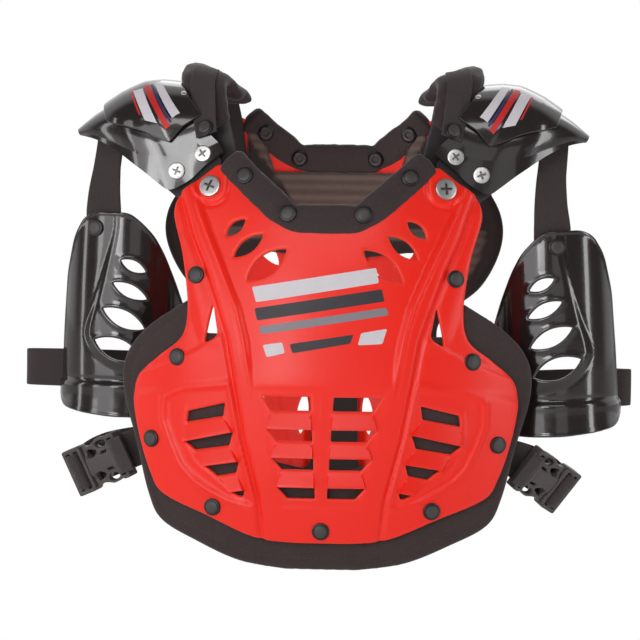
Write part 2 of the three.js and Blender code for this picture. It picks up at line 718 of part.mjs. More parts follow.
function makeBracket() {
  const columns = (v) => frontLiningColumns(v).slice(7);
  const slab = panelSlab(front, columns, frontRows.slice(0, 3), bracketLift, bracketLift - bracketThickness);
  const outline = bracketOutline.map(({ u, v }) => [panelX(front, u), panelZ(front, v)]);
  return toGeometry(slab.intersect(oneSideCutter(front, outline)));
}

// Shoulder cap: stations from the neck side out to the tip. x runs from capInnerX, at 0, to capReach, at 1. z is a share
// of capHang, and y a share of capHalfDepth. The first rows lie on the bracket, where the chest panel gives their y.
const capInnerX = panelX(front, 0.553);
const capDrop = 18; // how far its lowest corner is under the plate's shoulder corners
const capHang = capDrop - front.top;
const capTable = [
  { front: { x: 0, z: 0.62 }, knee: { x: 0.03, z: 0.543 }, ridge: { x: 0.363, z: 0.086 } },
  { front: { x: 0.118, z: 0.75 }, knee: { x: 0.147, z: 0.614 }, ridge: { x: 0.422, z: 0.093 } },
  { front: { x: 0.225, z: 0.893 }, knee: { x: 0.255, z: 0.657 }, ridge: { x: 0.49, z: 0.107 } },
  { front: { x: 0.343, z: 1, y: 1.05 }, knee: { x: 0.353, z: 0.671, y: 1 }, ridge: { x: 0.559, z: 0.129 } },
  { front: { x: 0.422, z: 0.943, y: 1.024 }, knee: { x: 0.441, z: 0.671, y: 1 }, ridge: { x: 0.637, z: 0.157 } },
  { front: { x: 0.549, z: 0.8, y: 0.976 }, knee: { x: 0.569, z: 0.643, y: 0.951 }, ridge: { x: 0.716, z: 0.186 } },
  { front: { x: 0.676, z: 0.664, y: 0.83 }, knee: { x: 0.696, z: 0.571, y: 0.805 }, ridge: { x: 0.794, z: 0.229 } },
  { front: { x: 0.794, z: 0.55, y: 0.66 }, knee: { x: 0.809, z: 0.493, y: 0.634 }, ridge: { x: 0.873, z: 0.279 } },
  { front: { x: 0.892, z: 0.479, y: 0.463 }, knee: { x: 0.902, z: 0.436, y: 0.44 }, ridge: { x: 0.941, z: 0.336 } },
  { front: { x: 0.97, z: 0.443, y: 0.244 }, knee: { x: 0.975, z: 0.421, y: 0.22 }, ridge: { x: 1, z: 0.4 } },
];
const capRidgeY = 2;
const capSeatLift = -plateWall; // the flange lies on the bracket beside the plate
const capBackReach = 1.22; // the cap reaches this much further back than forward of its ridge
const capStepBack = 8; // the outer part's knee lies this far behind the plate's corner
const capHalfDepth = capRidgeY - panelY(front, panelX(front, 0.58), front.top) - capStepBack;
const capBulge = 0.75; // below 1 the cap's section is squarer than an ellipse
const capArcSteps = 3;

function capPoint({ x, z, y }) {
  const across = capInnerX + x * (capReach - capInnerX);
  if (y === undefined) return onPanel(front, across, -z * capHang, capSeatLift);
  return new THREE.Vector3(across, capRidgeY - y * capHalfDepth, -z * capHang);
}

function capSection(row) {
  const knee = capPoint(row.knee);
  const edge = capPoint(row.front);
  const ridge = capPoint({ ...row.ridge, y: 0 });
  const arc = [];
  for (let i = 0; i < capArcSteps; i++) {
    const angle = (i / capArcSteps) * (Math.PI / 2);
    const towards = Math.sin(angle) ** capBulge;
    const fall = Math.cos(angle) ** capBulge;
    arc.push(
      new THREE.Vector3(
        ridge.x + (knee.x - ridge.x) * (1 - fall),
        ridge.y + (knee.y - ridge.y) * towards,
        knee.z + (ridge.z - knee.z) * fall,
      ),
    );
  }
  const frontHalf = [...arc, knee, edge];
  const behind = frontHalf
    .slice(1)
    .map((p) => new THREE.Vector3(p.x, capRidgeY + (capRidgeY - p.y) * capBackReach, p.z));
  return [...behind.reverse(), ...frontHalf];
}

// Each point of a grid moved along the grid's own normal.
function offsetGrid(grid, distance) {
  return grid.map((row, r) =>
    row.map((point, c) => {
      const alongColumn = grid[Math.min(r + 1, grid.length - 1)][c].clone().sub(grid[Math.max(r - 1, 0)][c]);
      const alongRow = row[Math.min(c + 1, row.length - 1)].clone().sub(row[Math.max(c - 1, 0)]);
      return point.clone().addScaledVector(alongRow.cross(alongColumn).normalize(), distance(r, c));
    }),
  );
}

const capGrid = capTable.map(capSection);

function makeLowerCap() {
  return wallBetween(capGrid, offsetGrid(capGrid, () => capWall));
}

const upperCapLift = [9.5, 9.5, 9, 7.5, 5.5, 3.4, 2]; // from the lower cap's inside, row by row
const upperCapShift = 13; // keeps its inner edge clear of the shoulder pad

function makeUpperCap() {
  const ridgeColumn = capArcSteps + 1;
  const shift = (r) => new THREE.Vector3(upperCapShift * (1 - r / upperCapLift.length), 0, 0);
  const rowOver = (_, r) => capGrid[r].slice(ridgeColumn - 2, ridgeColumn + 3).map((p) => p.clone().add(shift(r)));
  const base = upperCapLift.map(rowOver);
  const under = offsetGrid(base, (r) => upperCapLift[r]);
  const over = offsetGrid(base, (r) => upperCapLift[r] + capWall);
  return wallBetween(over, under);
}

// Arm guards: a curved shell hung on webbing under the cap, with an elastic band round the arm.
const guardOutline = [
  { x: -0.1, z: 0 }, { x: -0.3, z: -0.045 }, { x: -0.5, z: -0.11 }, { x: -0.66, z: -0.2 }, { x: -0.82, z: -0.33 },
  { x: -0.96, z: -0.47 }, { x: -1, z: -0.62 }, { x: -0.98, z: -0.98 }, { x: -0.5, z: -1 }, { x: 0.1, z: -1 },
  { x: 0.6, z: -0.985 }, { x: 0.9, z: -0.965 }, { x: 0.99, z: -0.9 }, { x: 0.97, z: -0.6 }, { x: 0.93, z: -0.3 },
  { x: 0.82, z: -0.12 }, { x: 0.66, z: -0.03 }, { x: 0.48, z: 0 },
];
const guardVents = [
  { x: -0.2, z: -0.26, length: 0.45, width: 0.175, tilt: 25 },
  { x: -0.155, z: -0.382, length: 0.625, width: 0.21, tilt: 25 },
  { x: -0.06, z: -0.518, length: 0.775, width: 0.275, tilt: 25 },
  { x: 0.03, z: -0.668, length: 0.85, width: 0.35, tilt: 20 },
];
const cuffFrom = 0.82; // share of the height below which the guard's cuff steps out
const cuffStep = 1.8;
const guardRows = [0.06, -0.1, -0.3, -0.55, -cuffFrom, -cuffFrom - 0.02, -1.06];

const guardReach = guardHalfWidth * 1.03; // half width of the round it is part of
const guardSwell = 0.04; // it is this much fuller at half height

function guardPoint(share, rowShare, lift) {
  const angle = share * (Math.PI / 2) * 0.98;
  const swell = 1 + guardSwell * Math.sin(Math.PI * Math.min(1, Math.max(0, -rowShare)));
  const cuff = rowShare < -cuffFrom - 0.01 ? cuffStep : 0;
  const reach = guardReach * swell + cuff + lift;
  const bulge = guardBulge * swell + cuff + lift;
  return new THREE.Vector3(reach * Math.sin(angle), -bulge * Math.cos(angle), rowShare * guardHeight);
}

function placeGuard(geometry, side) {
  const lean = ((side.sign > 0 ? -2.5 : -1) * Math.PI) / 180;
  return geometry.rotateY(lean).translate(side.spread, guardEdgeY, guardTop - side.hang);
}

function makeArmGuard(side) {
  const columns = [-1, -0.75, -0.5, -0.25, 0, 0.25, 0.5, 0.75, 1];
  const skin = (lift) => guardRows.map((z) => columns.map((c) => guardPoint(c, z, lift)));
  let shell = toSolid(wallBetween(skin(0), skin(-guardWall)));
  const outline = guardOutline.map(({ x, z }) => [x * guardHalfWidth * 1.06, z * guardHeight]);
  shell = shell.intersect(toSolid(prismAlongY(outline, -guardBulge * 2, guardBulge)));
  for (const vent of guardVents) {
    const cut = leaf({
      x: vent.x * guardHalfWidth,
      z: vent.z * guardHeight,
      length: vent.length * guardHalfWidth,
      width: vent.width * guardHalfWidth,
      tilt: vent.tilt,
    });
    shell = shell.subtract(toSolid(prismAlongY(cut, -guardBulge * 2, 0)));
  }
  return placeGuard(toGeometry(shell), side);
}

const bandLevel = 0.79; // share of the guard's height down to the middle of the arm band
const bandFold = 3; // the folded end's half thickness
const bandFoldY = 7;

function makeArmBand(side) {
  const inside = guardReach - guardWall - seatGap - webbingThickness / 2;
  const level = -bandLevel * guardHeight;
  const outer = inside + side.bandReach;
  const loop = [
    [-0.965, -0.22], [-0.97, 0.11], [-0.78, 0.44], [0, 0.66], [1, 0.61],
  ];
  const fold = [[outer - bandFold, 2 * bandFold], [outer, bandFold], [outer - bandFold, 0]];
  const back = [[1.05, 0.1], [0.94, -0.08], [0.93, -0.28]];
  const inShares = ([x, y]) => [x * inside, y * guardBulge];
  const path = [...loop.map(inShares), ...fold.map(([x, y]) => [x, y + bandFoldY]), ...back.map(inShares)];
  const points = path.map(([x, y]) => new THREE.Vector3(x, y, level));
  const curve = new THREE.CatmullRomCurve3(points, false, "centripetal");
  const steps = 20;
  const stations = Array.from({ length: steps + 1 }, (_, i) => {
    const along = curve.getTangentAt(i / steps);
    return {
      point: curve.getPointAt(i / steps),
      across: new THREE.Vector3(0, 0, 1),
      out: new THREE.Vector3(0, 0, 1).cross(along).normalize(),
      width: webbingWidth,
      thickness: webbingThickness,
    };
  });
  return placeGuard(sweep(stations), side);
}

// Webbing from under the cap down to the inside of the arm guard's top.
const hangTopX = 0.873; // share of the cap's reach
const hangTop = 0.292; // share of the cap's hang, where the webbing meets the cap's inside
const hangShoulder = 0.8; // share of the cap's hang, where it starts to bend towards the guard
const hangBehind = 3.4; // from the guard's inside to the webbing's middle
const hangLap = 20; // length behind the guard's upper edge

function makeHangStrap(side) {
  const lower = guardTop - side.hang;
  const off = side.hangX - side.spread;
  const yawLow = (Math.asin(off / guardHalfWidth) * 180) / Math.PI;
  const seatY = guardEdgeY - (guardBulge - guardWall) * Math.cos((yawLow * Math.PI) / 180) + hangBehind;
  const under = hangTopX * capReach;
  const shoulder = -hangShoulder * capHang;
  const stations = [
    { at: [under, 0.12 * seatY, -hangTop * capHang], narrow: 0.8, yaw: 25 },
    { at: [under, 0.5 * seatY, shoulder], narrow: 0.84, yaw: 22 },
    { at: [(under + side.hangX) / 2, 0.8 * seatY, (lower + shoulder) / 2], narrow: 0.92, yaw: 16 },
    { at: [side.hangX, seatY, lower + webbingThickness], narrow: 1, yaw: yawLow },
    { at: [side.hangX, seatY, lower - hangLap], narrow: 1, yaw: yawLow },
  ];
  return sweep(
    stations.map(({ at, narrow, yaw }) => {
      const turn = (yaw * Math.PI) / 180;
      const across = new THREE.Vector3(Math.cos(turn), Math.sin(turn), 0);
      return {
        point: new THREE.Vector3(...at),
        across,
        out: new THREE.Vector3(Math.sin(turn), -Math.cos(turn), 0),
        width: narrow * webbingWidth,
        thickness: webbingThickness,
      };
    }),
  );
}

// Side-release buckles on the straps that join the plates under the arms. Local X runs along the strap.
const socketLength = 33;
const clipLength = 17;
const clipGap = 0.6; // between the socket's mouth and the clip's shoulder
const clipStart = socketLength + clipGap;
const clipEnd = clipStart + clipLength;
const buckleWidth = 33;
const buckleThickness = 9;
const buckleWall = 2;
const barWidth = 3; // the bars that the webbing goes round
const slotWidth = 3.5;
const webbingEase = 1; // a slot's ends beyond the webbing's edges
const socketSlot = { from: 2.6, to: 6.8 };

// Half the socket's plan: x as a share of its length, z as a share of its half width.
const socketPlan = [{ x: 0, z: 1 }, { x: 0.18, z: 1 }, { x: 0.27, z: 0.79 }, { x: 0.88, z: 0.88 }, { x: 1, z: 0.76 }];
const cavityPlan = { from: 0.3, half: 0.64 };
const windowPlan = { from: 0.39, to: 0.76, inner: 0.58 }; // the openings at the socket's sides
const thumbHole = { x: 0.576, z: 0.515, length: 12, width: 5, tilt: 20 };

// A prong of the clip, in the same shares: its foot, its barb and its slope back to the clip.
const prongPlan = [
  { x: 0.424, z: 0.273 }, { x: 0.424, z: 0.515 }, { x: 0.576, z: 0.6 }, { x: 0.667, z: 0.43 },
];
const prongFoot = { inner: 0.273, outer: 0.515 };
const guideHalf = 2;
const guideFrom = 0.364;
const joined = 1; // how far a prong runs into the clip's body

function blockAt(x0, x1, y0, y1, z0, z1) {
  return toSolid(
    new THREE.BoxGeometry(x1 - x0, y1 - y0, z1 - z0).translate((x0 + x1) / 2, (y0 + y1) / 2, (z0 + z1) / 2),
  );
}

function makeSocket() {
  const [w, t] = [buckleWidth / 2, buckleThickness / 2];
  const half = socketPlan.map(({ x, z }) => [x * socketLength, z * w]);
  const plan = [...half.map(([x, z]) => [x, -z]), ...half.reverse()];
  const body = toSolid(prismAlongY(plan, -t, t));
  const reach = webbingWidth / 2 + webbingEase;
  const inside = t - buckleWall;
  const slot = blockAt(socketSlot.from, socketSlot.to, -2 * t, 2 * t, -reach, reach);
  const cavityHalf = cavityPlan.half * w;
  const cavity = blockAt(cavityPlan.from * socketLength, clipStart, -inside, inside, -cavityHalf, cavityHalf);
  const [windowFrom, windowTo] = [windowPlan.from * socketLength, windowPlan.to * socketLength];
  const cuts = [slot, cavity];
  for (const sign of [1, -1]) {
    const [low, high] = [sign * windowPlan.inner * w, sign * 2 * w].sort((a, b) => a - b);
    cuts.push(blockAt(windowFrom, windowTo, -inside, inside, low, high));
    const hole = { ...thumbHole, x: thumbHole.x * socketLength, z: sign * thumbHole.z * w, tilt: sign * thumbHole.tilt };
    cuts.push(toSolid(prismAlongY(leaf(hole), -2 * t, 2 * t)));
  }
  return cuts.reduce((solid, cut) => solid.subtract(cut), body);
}

function makeClip() {
  const [w, t] = [buckleWidth / 2, buckleThickness / 2];
  const reach = webbingWidth / 2 + webbingEase;
  const base = blockAt(clipStart, clipEnd, -t, t, -w, w);
  const slots = [
    blockAt(clipStart + barWidth, clipStart + barWidth + slotWidth, -2 * t, 2 * t, -reach, reach),
    blockAt(clipEnd - barWidth - slotWidth, clipEnd - barWidth, -2 * t, 2 * t, -reach, reach),
  ];
  const prongHalf = t - buckleWall - seatGap;
  const guide = blockAt(guideFrom * socketLength, clipStart + joined, -prongHalf, prongHalf, -guideHalf, guideHalf);
  const prong = (sign) => {
    const outline = [
      [clipStart + joined, sign * prongFoot.inner * w],
      ...prongPlan.map(({ x, z }) => [x * socketLength, sign * z * w]),
      [clipStart + joined, sign * prongFoot.outer * w],
    ];
    return toSolid(prismAlongY(outline, -prongHalf, prongHalf));
  };
  const solid = slots.reduce((left, cut) => left.subtract(cut), base);
  return solid.add(guide).add(prong(1)).add(prong(-1));
}

const socket = makeSocket();
const clip = makeClip();
const strapLeaves = 0.903; // share of the front plate's half width where the front side strap leaves its liner
const strapStarts = 0.81;
const buckleBehind = 22.3; // depth of the buckle's near end behind the plate there

function buckleMatrix(side) {
  const buckleY = panelY(front, strapLeaves * front.halfWidth, side.buckleZ) + buckleBehind;
  const matrix = new THREE.Matrix4().makeTranslation(side.buckleX, buckleY, side.buckleZ);
  matrix.multiply(new THREE.Matrix4().makeRotationY((side.droop * Math.PI) / 180));
  return matrix.multiply(new THREE.Matrix4().makeRotationZ((side.turn * Math.PI) / 180));
}

const placeBuckle = (geometry, side) => geometry.applyMatrix4(buckleMatrix(side));

// Webbing through stations [point, across]; its face turns with the path.
function webbingAlong(path) {
  return sweep(
    path.map(([point, across], i) => {
      const along = path[Math.min(i + 1, path.length - 1)][0].clone().sub(path[Math.max(i - 1, 0)][0]).normalize();
      const level = across.clone().addScaledVector(along, -across.dot(along)).normalize();
      return {
        point,
        across: level,
        out: level.clone().cross(along).normalize(),
        width: webbingWidth,
        thickness: webbingThickness,
      };
    }),
  );
}

const lieOff = buckleThickness / 2 + seatGap + webbingThickness / 2; // webbing's middle off the buckle's middle
const upright = new THREE.Vector3(0, 0, 1);
const foldDepth = lieOff - 0.8; // the webbing's middle where it turns through a slot

function onBuckle(side, points) {
  const matrix = buckleMatrix(side);
  const across = upright.clone().transformDirection(matrix);
  return points.map(([x, y]) => [new THREE.Vector3(x, y, 0).applyMatrix4(matrix), across]);
}

// From behind the front liner, round the socket's bar and folded back over it.
const strapRise = { start: 14, edge: 9 }; // over the buckle's level
const strapSink = 2.5; // how much deeper it lies at the liner's edge

function makeFrontSideStrap(side) {
  const behind = -(plateWall + seatGap + linerThickness + seatGap + 2 * webbingThickness);
  const world = [
    [onPanel(front, strapStarts * front.halfWidth, side.buckleZ + strapRise.start, behind), upright],
    [onPanel(front, strapLeaves * front.halfWidth, side.buckleZ + strapRise.edge, behind - strapSink), upright],
  ];
  const turnAt = (socketSlot.from + socketSlot.to) / 2 + 0.3;
  const local = [
    [-5, lieOff + 0.6], [turnAt - 1.4, lieOff + 0.2], [turnAt, foldDepth],
    [turnAt, -foldDepth], [turnAt - 1.4, -lieOff - 0.2], [-7, -lieOff],
  ];
  return webbingAlong([...world, ...onBuckle(side, local)]);
}

// From its tail behind the socket, over the clip's middle bar and back to the back plate.
const backStrapEnd = { x: 0.836, rise: 6 }; // on the back plate, as a share of its half width, over the buckle's level
const backStrapNear = { x: 0.945, rise: 4 };
const tailLength = 16;
const strapSwing = { clear: 8, out: 12, in: 16, before: 10 }; // its bend round the side, from the clip towards the back plate

function makeBackSideStrap(side) {
  const nearSlot = clipStart + barWidth + slotWidth / 2;
  const farSlot = clipEnd - barWidth - slotWidth / 2;
  const local = [
    [clipStart - tailLength, lieOff + 1.2], [clipStart - 1, lieOff + 0.2], [nearSlot - 1.35, lieOff + 0.1],
    [nearSlot, foldDepth], [nearSlot, -foldDepth], [nearSlot + 1.05, -lieOff - 0.2],
    [farSlot - 1.05, -lieOff - 0.2], [farSlot, -foldDepth], [farSlot, foldDepth],
    [farSlot + 1.35, lieOff + 0.1], [clipEnd + 1, lieOff + 0.4], [clipEnd + strapSwing.clear, lieOff + 5],
  ];
  const placed = onBuckle(side, local);
  const from = placed[placed.length - 1][0];
  const onBack = ({ x, rise }, lift) => onPanel(back, x * back.halfWidth, side.buckleZ + rise, seatGap + lift);
  const to = onBack(backStrapEnd, webbingThickness);
  const near = onBack(backStrapNear, 2 * webbingThickness);
  const bend = new THREE.Vector3(from.x - strapSwing.in, near.y - strapSwing.before, (from.z + to.z) / 2);
  const turn = new THREE.CatmullRomCurve3(
    [from, from.clone().add(new THREE.Vector3(0, strapSwing.out, -1)), bend, near],
    false,
    "centripetal",
  );
  const steps = 9;
  const across = placed[0][1];
  const swung = Array.from({ length: steps }, (_, i) => {
    const share = (i + 1) / steps;
    return [turn.getPointAt(share), across.clone().lerp(upright, share).normalize()];
  });
  return webbingAlong([...placed, ...swung, [to, upright]]);
}

// Fasteners
const rivetProfile = [[0, 0], [rivetRadius, 0], [rivetRadius * 0.78, rivetHeight], [0, rivetHeight]];
const screwProfile = (radius) => [[0, 0], [radius, 0], [radius * 0.88, screwHeight], [0, screwHeight]];
const rivetSides = 10;
const screwSides = 12;

function onFront(u, v, lift) {
  const [x, z] = [panelX(front, u), panelZ(front, v)];
  return { at: onPanel(front, x, z, lift + frontRelief(u, v)), normal: panelNormal(front, x, z) };
}

function addPairOf(name, material, profile, segments, { at, normal }) {
  addPair(name, material, () => turned(profile, at, normal, segments));
}

// The two screws through each cap's front flange: how far along the rows of its table and down from the knee.
const capScrews = [
  { row: 0.95, down: 0.3 },
  { row: 2.6, down: 0.5 },
];

function onCap({ row, down }) {
  const place = (r, d) => {
    const [from, to] = [capGrid[Math.floor(r)], capGrid[Math.floor(r) + 1]];
    const last = from.length - 1;
    const along = (line) => line[last - 1].clone().lerp(line[last], d);
    return along(from).lerp(along(to), r - Math.floor(r));
  };
  const step = 0.05;
  const acrossRow = place(row + step, down).sub(place(row - step, down));
  const downRow = place(row, down + step).sub(place(row, down - step));
  const normal = acrossRow.cross(downRow).normalize();
  if (normal.y > 0) normal.negate();
  return { at: place(row, down).addScaledVector(normal, capWall + seatGap + screwEase), normal };
}

function snapFrame() {
  const { point, out } = snapStations()[1];
  return { point: point.clone(), out: out.y > 0 ? out.clone().negate() : out.clone() };
}

const plateRivets = [
  { name: "plate_rivet_top", u: 0.668, v: 0.703 },
  { name: "plate_rivet_waist", u: 0.765, v: 0.484 },
  { name: "plate_rivet_side", u: 0.895, v: 0.262 },
  { name: "plate_rivet_low", u: 0.5625, v: 0.088 },
];
const collarRise = collarThickness / 2 - plateWall / 2 + seatGap; // from a plate's face to just over its collar
const frontCollarRivets = [
  { name: "collar_rivet_inner", u: 0.193, v: 0.868 },
  { name: "collar_rivet_outer", u: 0.424, v: 0.966 },
];
const backCollarRivets = [
  { name: "neck_rivet_inner", u: 0.25, v: 0.888 },
  { name: "neck_rivet_outer", u: 0.47, v: 0.95 },
];

add("front_plate", toGeometry(makeFrontPlate()), materials.redPlastic);
add("front_liner", toGeometry(makeFrontLiner()), materials.foam);
add("back_plate", toGeometry(makeBackPlate()), materials.redPlastic);
add("back_liner", toGeometry(makeBackLiner()), materials.liningCloth);
add(
  "front_collar",
  toGeometry(makeCollar(front, frontCollarPath, plateBlank(front, frontColumns, frontRows, frontOutline, frontRelief))),
  materials.collarCloth,
);
add(
  "back_collar",
  toGeometry(makeCollar(back, backCollarPath, plateBlank(back, backColumns, backRows, backOutline, backRelief))),
  materials.collarCloth,
);
addPair("shoulder_strip", materials.mattBlack, makeArch);
addPair("shoulder_pad", materials.collarCloth, makeShoulderPad);
addPair("snap_strap", materials.webbing, () => sweep(snapStations()));
addPair("cap_bracket", materials.mattBlack, makeBracket);
addPair("shoulder_cap", materials.glossBlack, makeLowerCap);
addPair("upper_cap", materials.glossBlack, makeUpperCap);
addPair("arm_guard", materials.glossBlack, makeArmGuard);
addPair("arm_band", materials.webbing, makeArmBand);
addPair("hang_strap", materials.webbing, makeHangStrap);
addPair("buckle_socket", materials.mattBlack, (side) => placeBuckle(toGeometry(socket), side));
addPair("buckle_clip", materials.mattBlack, (side) => placeBuckle(toGeometry(clip), side));
addPair("side_strap_front", materials.webbing, makeFrontSideStrap);
addPair("side_strap_back", materials.webbing, makeBackSideStrap);

for (const { name, u, v } of plateRivets) {
  addPairOf(name, materials.rivet, rivetProfile, rivetSides, onFront(u, v, seatGap));
}
const lowest = onFront(0, 0.0333, seatGap);
add("plate_rivet_middle", turned(rivetProfile, lowest.at, lowest.normal, rivetSides), materials.rivet);
for (const { name, u, v } of frontCollarRivets) {
  const spot = { at: onPanelShare(front, u, v, collarRise), normal: panelNormal(front, panelX(front, u), panelZ(front, v)) };
  addPairOf(name, materials.rivet, rivetProfile, rivetSides, spot);
}
for (const { name, u, v } of backCollarRivets) {
  const inward = panelNormal(back, panelX(back, u), panelZ(back, v)).negate();
  const spot = { at: onPanelShare(back, u, v, -plateWall - collarRise), normal: inward };
  addPairOf(name, materials.rivet, rivetProfile, rivetSides, spot);
}
addPairOf("shoulder_screw", materials.steel, screwProfile(bigScrewRadius), screwSides, onFront(0.607, 0.948, seatGap));

for (const [i, spot] of capScrews.entries()) {
  addPairOf("cap_screw_" + (i + 1), materials.steel, screwProfile(smallScrewRadius), screwSides, onCap(spot));
}
addPair("snap", materials.rivet, () => {
  const { point, out } = snapFrame();
  return turned(rivetProfile, point.addScaledVector(out, webbingThickness / 2 + 3 * seatGap), out, rivetSides);
});
addPair("guard_rivet", materials.rivet, (side) => {
  const offset = side.hangX - side.spread + 5;
  const share = Math.asin(offset / guardHalfWidth) / (Math.PI / 2);
  const at = guardPoint(share, -0.08, seatGap + 0.3);
  const normal = new THREE.Vector3(at.x, at.y, 0).normalize();
  return placeGuard(turned(rivetProfile, at, normal, rivetSides), side);
});

export default deflector;
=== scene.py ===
import bpy
import bmesh
import math
import numpy as np
from mathutils import Matrix, Vector
from mathutils.geometry import delaunay_2d_cdt
from mathutils.kdtree import KDTree


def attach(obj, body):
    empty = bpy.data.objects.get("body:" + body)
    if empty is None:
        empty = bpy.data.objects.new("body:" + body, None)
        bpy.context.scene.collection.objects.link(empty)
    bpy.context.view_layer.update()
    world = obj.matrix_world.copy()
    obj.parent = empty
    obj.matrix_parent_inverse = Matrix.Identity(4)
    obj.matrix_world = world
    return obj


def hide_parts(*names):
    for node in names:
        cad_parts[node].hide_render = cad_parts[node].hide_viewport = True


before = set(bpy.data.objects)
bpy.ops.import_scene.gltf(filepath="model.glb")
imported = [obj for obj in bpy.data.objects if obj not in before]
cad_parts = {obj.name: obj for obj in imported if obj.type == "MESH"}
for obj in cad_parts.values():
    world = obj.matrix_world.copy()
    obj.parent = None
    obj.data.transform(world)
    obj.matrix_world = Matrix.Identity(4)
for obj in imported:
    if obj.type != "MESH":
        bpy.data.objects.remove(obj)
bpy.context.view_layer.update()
scene = bpy.context.scene
mm = 0.001  # the tables are in millimetres or shares, the meshes in metres

view = {"azimuth": 3.4, "elevation": 3.0, "roll": 0.82, "distance": 2200.0, "lens": 181.0, "sensor": 36,
        "target": (-7.0, 0.0, -158.0)}


def makeCamera():
    data = bpy.data.cameras.new("camera")
    data.lens = view["lens"]
    data.sensor_width = view["sensor"]
    data.clip_end = 50
    camera = bpy.data.objects.new("camera", data)
    scene.collection.objects.link(camera)
    a, e = math.radians(view["azimuth"]), math.radians(view["elevation"])
    back = Vector((math.sin(a) * math.cos(e), -math.cos(a) * math.cos(e), math.sin(e)))
    turn = (-back).to_track_quat("-Z", "Y").to_matrix() @ Matrix.Rotation(math.radians(view["roll"]), 3, "Z")
    camera.matrix_world = Matrix.Translation((Vector(view["target"]) + back * view["distance"]) * mm) @ turn.to_4x4()
    scene.camera = camera


makeCamera()


# A socket that sums can be written with.
class Value:
    def __init__(self, tree, socket):
        self.tree, self.socket = tree, socket

    def maths(self, operation, *others):
        node = self.tree.nodes.new("ShaderNodeMath")
        node.operation = operation
        for slot, item in zip(node.inputs, (self, *others)):
            plug(self.tree, item, slot)
        return Value(self.tree, node.outputs[0])

    def flipped(self, operation, other):
        node = self.tree.nodes.new("ShaderNodeMath")
        node.operation = operation
        plug(self.tree, other, node.inputs[0])
        plug(self.tree, self, node.inputs[1])
        return Value(self.tree, node.outputs[0])

    def __add__(self, other):
        return self.maths("ADD", other)

    def __radd__(self, other):
        return self.flipped("ADD", other)

    def __sub__(self, other):
        return self.maths("SUBTRACT", other)

    def __rsub__(self, other):
        return self.flipped("SUBTRACT", other)

    def __mul__(self, other):
        return self.maths("MULTIPLY", other)

    def __rmul__(self, other):
        return self.flipped("MULTIPLY", other)

    def __lt__(self, other):
        return self.maths("LESS_THAN", other)

    def between(self):
        return self.maths("MAXIMUM", 0.0).maths("MINIMUM", 1.0)


def plug(tree, item, slot):
    if isinstance(item, Value):
        tree.links.new(item.socket, slot)
    else:
        slot.default_value = item


class Finish:
    def __init__(self, name, fixed):
        self.material = bpy.data.materials.new(name)
        self.material.use_nodes = True
        self.tree = self.material.node_tree
        self.surface = self.tree.nodes["Principled BSDF"]
        for slot, value in fixed.items():
            self.surface.inputs[slot].default_value = value

    def node(self, kind, settings=None, inputs=None, output=0):
        node = self.tree.nodes.new("ShaderNode" + kind)
        for key, value in (settings or {}).items():
            if key == "stops":
                while len(node.color_ramp.elements) < len(value):
                    node.color_ramp.elements.new(0.5)
                for element, (place, shade) in zip(node.color_ramp.elements, value):
                    element.position = place
                    element.color = (shade, shade, shade, 1) if isinstance(shade, float) else (*shade, 1)
            else:
                setattr(node, key, value)
        for key, item in (inputs or {}).items():
            plug(self.tree, item, node.inputs[key])
        return Value(self.tree, node.outputs[output])

    def place(self, scale=(1, 1, 1), turn=(0, 0, 0)):
        coordinates = self.node("TexCoord", output=3)
        return self.node("Mapping", {}, {"Vector": coordinates, "Scale": scale, "Rotation": turn})

    def along(self):
        return self.node("UVMap", {"uv_map": "run"})

    def noise(self, vector, scale, detail=3.0, roughness=0.5):
        return self.node("TexNoise", {}, {"Vector": vector, "Scale": scale, "Detail": detail, "Roughness": roughness})

    def mix(self, factor, first, second):
        node = self.tree.nodes.new("ShaderNodeMix")
        node.data_type = "RGBA"
        plug(self.tree, factor, node.inputs[0])
        plug(self.tree, first if isinstance(first, Value) else (*first, 1), node.inputs[6])
        plug(self.tree, second if isinstance(second, Value) else (*second, 1), node.inputs[7])
        return Value(self.tree, node.outputs[2])

    def bump(self, height, strength, distance, under=None):
        inputs = {"Height": height, "Strength": strength, "Distance": distance}
        if under is not None:
            inputs["Normal"] = under
        return self.node("Bump", {}, inputs)

    def attribute(self, name):
        return self.node("Attribute", {"attribute_name": name}, output=2)

    def feed(self, slot, item):
        plug(self.tree, item, self.surface.inputs[slot])
        return self


def makeRed():
    red = Finish("redPlastic", {"IOR": 1.5, "Specular IOR Level": 0.38})
    at = red.place()
    cloud = red.noise(at, 14.0, 2.0)
    rim = red.attribute("rim")
    colour = red.mix(cloud, (0.93, 0.016, 0.007), (0.98, 0.022, 0.009))
    # Lighter colour along the plate's outer edges, where the rim mark is set: a painted highlight.
    colour = red.mix((rim * 0.3).between(), colour, (0.97, 0.13, 0.07))
    scuff = red.noise(red.place((60, 60, 9), (0.2, 0.5, 0.3)), 9.0, 6.0, 0.65)
    scuffed = red.node("ValToRGB", {"stops": [(0.6, 0.0), (0.74, 1.0)]}, {"Fac": scuff})
    red.feed("Base Color", red.mix(scuffed * 0.05, colour, (0.98, 0.3, 0.22)))
    red.feed("Roughness", cloud * 0.08 + scuffed * 0.1 + rim * 0.05 + 0.27)
    grain = red.noise(at, 900.0, 3.0)
    peel = red.noise(at, 150.0, 2.0)
    red.feed("Normal", red.bump(peel, 0.12, 0.0006, red.bump(grain, 0.06, 0.0003)))
    return red.material


